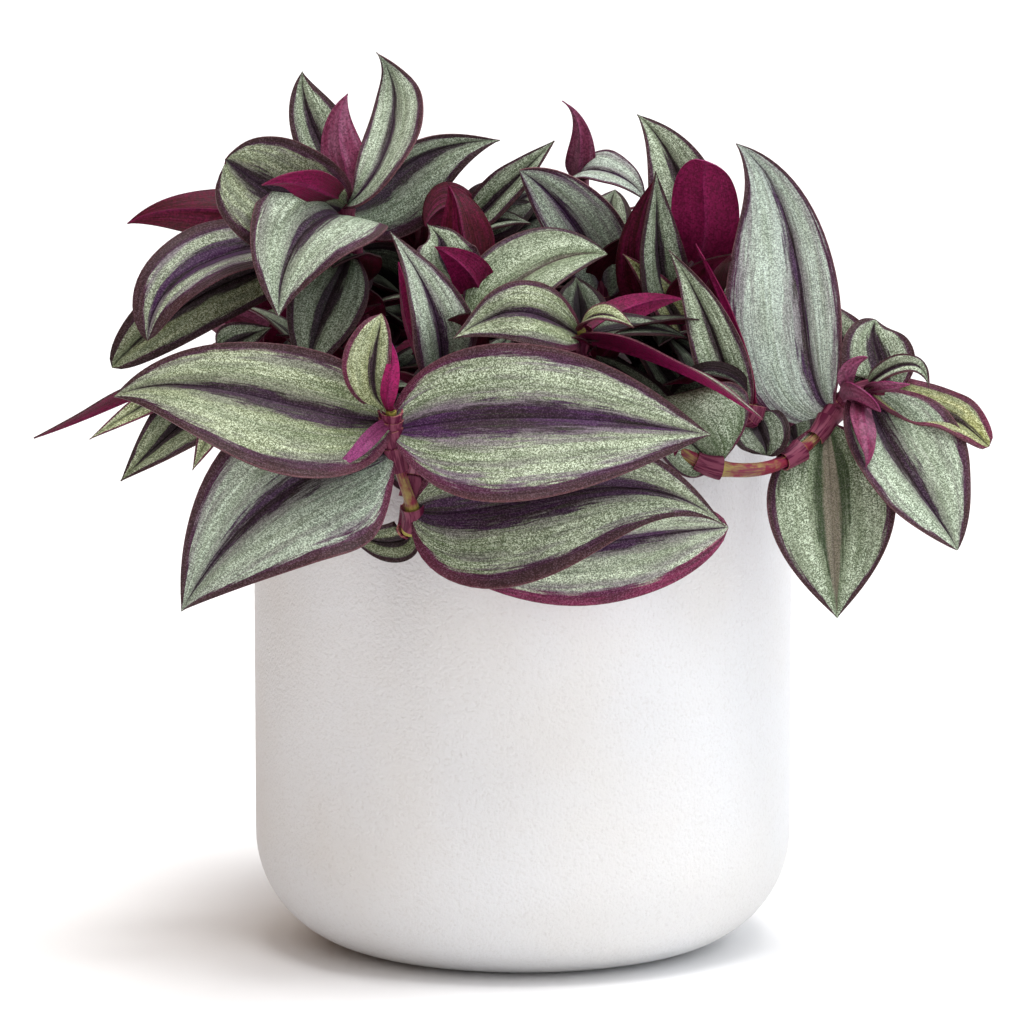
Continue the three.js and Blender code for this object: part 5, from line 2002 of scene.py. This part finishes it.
@dataclass
class Studio:
    """The pale floor, the soft light and the camera."""

    distance: float = 1300.0
    elevation: float = 7.0
    aim_x: float = -2.85
    aim_height: float = 112.9
    lens: float = 175.4
    sensor: float = 36.0
    clip: Pair = (0.05, 200.0)  # metres
    floor_size: float = 80.0  # metres
    floor_white: Colour = (0.92, 0.92, 0.92, 1.0)
    floor_clouds: float = 0.5  # per metre
    floor_gloss: Pair = (0.6, 0.7)
    floor_shine: float = 0.1
    key_direction: Point = (0.2, -0.6, 2.15)
    key_strength: float = 2.35
    key_softness: float = 26.0
    bright_side: Point = (1.0, -0.25, 0.3)
    bright_sky: Colour = (1.32, 1.38, 1.46, 1.0)
    warm_sky: Colour = (0.68, 0.62, 0.57, 1.0)
    dim_sky: Colour = (0.12, 0.04, 0.0, 1.0)
    dim_until: float = -0.7  # how far a direction faces the bright side, from -1 to 1
    warm_at: float = 0.05
    bright_from: float = 0.8

    def build(self) -> None:
        """Places the floor, the lights and the camera."""
        self.lay_floor()
        self.hang_sun("key_light", self.key_direction, self.key_strength, self.key_softness)
        self.light_room()
        bpy.context.scene.view_settings.view_transform = "Standard"
        self.stand_camera()

    def light_room(self) -> None:
        """Lights the room softly, from a bright wall on the right to a dim warm one on the left."""
        world = bpy.data.worlds.new("studio_room")
        bpy.context.scene.world = world
        world.use_nodes = True
        graph = Graph(world.node_tree)
        toward = tuple(Vector(self.bright_side).normalized())
        inputs = {0: graph.add("TexCoord").outputs["Generated"], 1: toward}
        facing = graph.add("VectorMath", inputs, operation="DOT_PRODUCT").outputs["Value"]
        colour = graph.blend(graph.ease(facing, self.dim_until, self.warm_at), self.dim_sky, self.warm_sky)
        colour = graph.blend(graph.ease(facing, self.warm_at, self.bright_from), colour, self.bright_sky)
        graph.join(colour, world.node_tree.nodes["Background"].inputs["Color"])

    def lay_floor(self) -> None:
        """Lays the pale floor."""
        clear_selection()
        bpy.ops.mesh.primitive_plane_add(size=self.floor_size, location=(0, 0, 0))
        floor = bpy.context.object
        floor.name = "studio_floor"
        material, graph, shader = start_finish("white_floor")
        faint = graph.ease(graph.noise(graph.place(), self.floor_clouds), 0.0, 1.0, *self.floor_gloss)
        graph.join(faint, shader.inputs["Roughness"])
        shader.inputs["Base Color"].default_value = self.floor_white
        shader.inputs["Specular IOR Level"].default_value = self.floor_shine
        floor.data.materials.append(material)

    def hang_sun(self, name: str, direction: Point, strength: float, softness: float) -> None:
        """Hangs a soft light.

        Args:
            name: The light's name.
            direction: Where it stands, seen from the pot.
            strength: How strong it is.
            softness: How wide it looks, in degrees.
        """
        light = bpy.data.lights.new(name, "SUN")
        light.energy = strength
        light.angle = math.radians(softness)
        lamp = bpy.data.objects.new(name, light)
        lamp.rotation_euler = Vector(direction).to_track_quat("Z", "Y").to_euler()
        bpy.context.collection.objects.link(lamp)

    def stand_camera(self) -> None:
        """Stands the camera where the photograph was taken from."""
        camera = bpy.data.cameras.new("camera")
        camera.lens = self.lens
        camera.sensor_width = self.sensor
        camera.clip_start, camera.clip_end = self.clip
        camera.dof.use_dof = False
        stand = bpy.data.objects.new("camera", camera)
        down = math.radians(self.elevation)
        back, up = -self.distance * math.cos(down), self.aim_height + self.distance * math.sin(down)
        stand.location = (self.aim_x * METRES, back * METRES, up * METRES)
        stand.rotation_euler = (math.pi / 2 - down, 0, 0)
        bpy.context.collection.objects.link(stand)
        bpy.context.scene.camera = stand


def main() -> None:
    """Builds the part's pieces in order, then the studio."""
    effects = Effects()
    outside = SheathFinish("sheath_outside")
    lining = SheathFinish("sheath_inside", pale=paint("7a3c50"), stripe=paint("521430"))
    finishes = [LeafTopFinish(), LeafUnderFinish(), outside, lining, StemFinish()]
    slots = [finish.build(effects) for finish in finishes]
    Pot(PotFinish().build(effects)).build()
    Soil(SoilFinish().build(effects)).build()
    Foliage(slots).build()
    Studio().build()


if __name__ == "__main__":
    main()
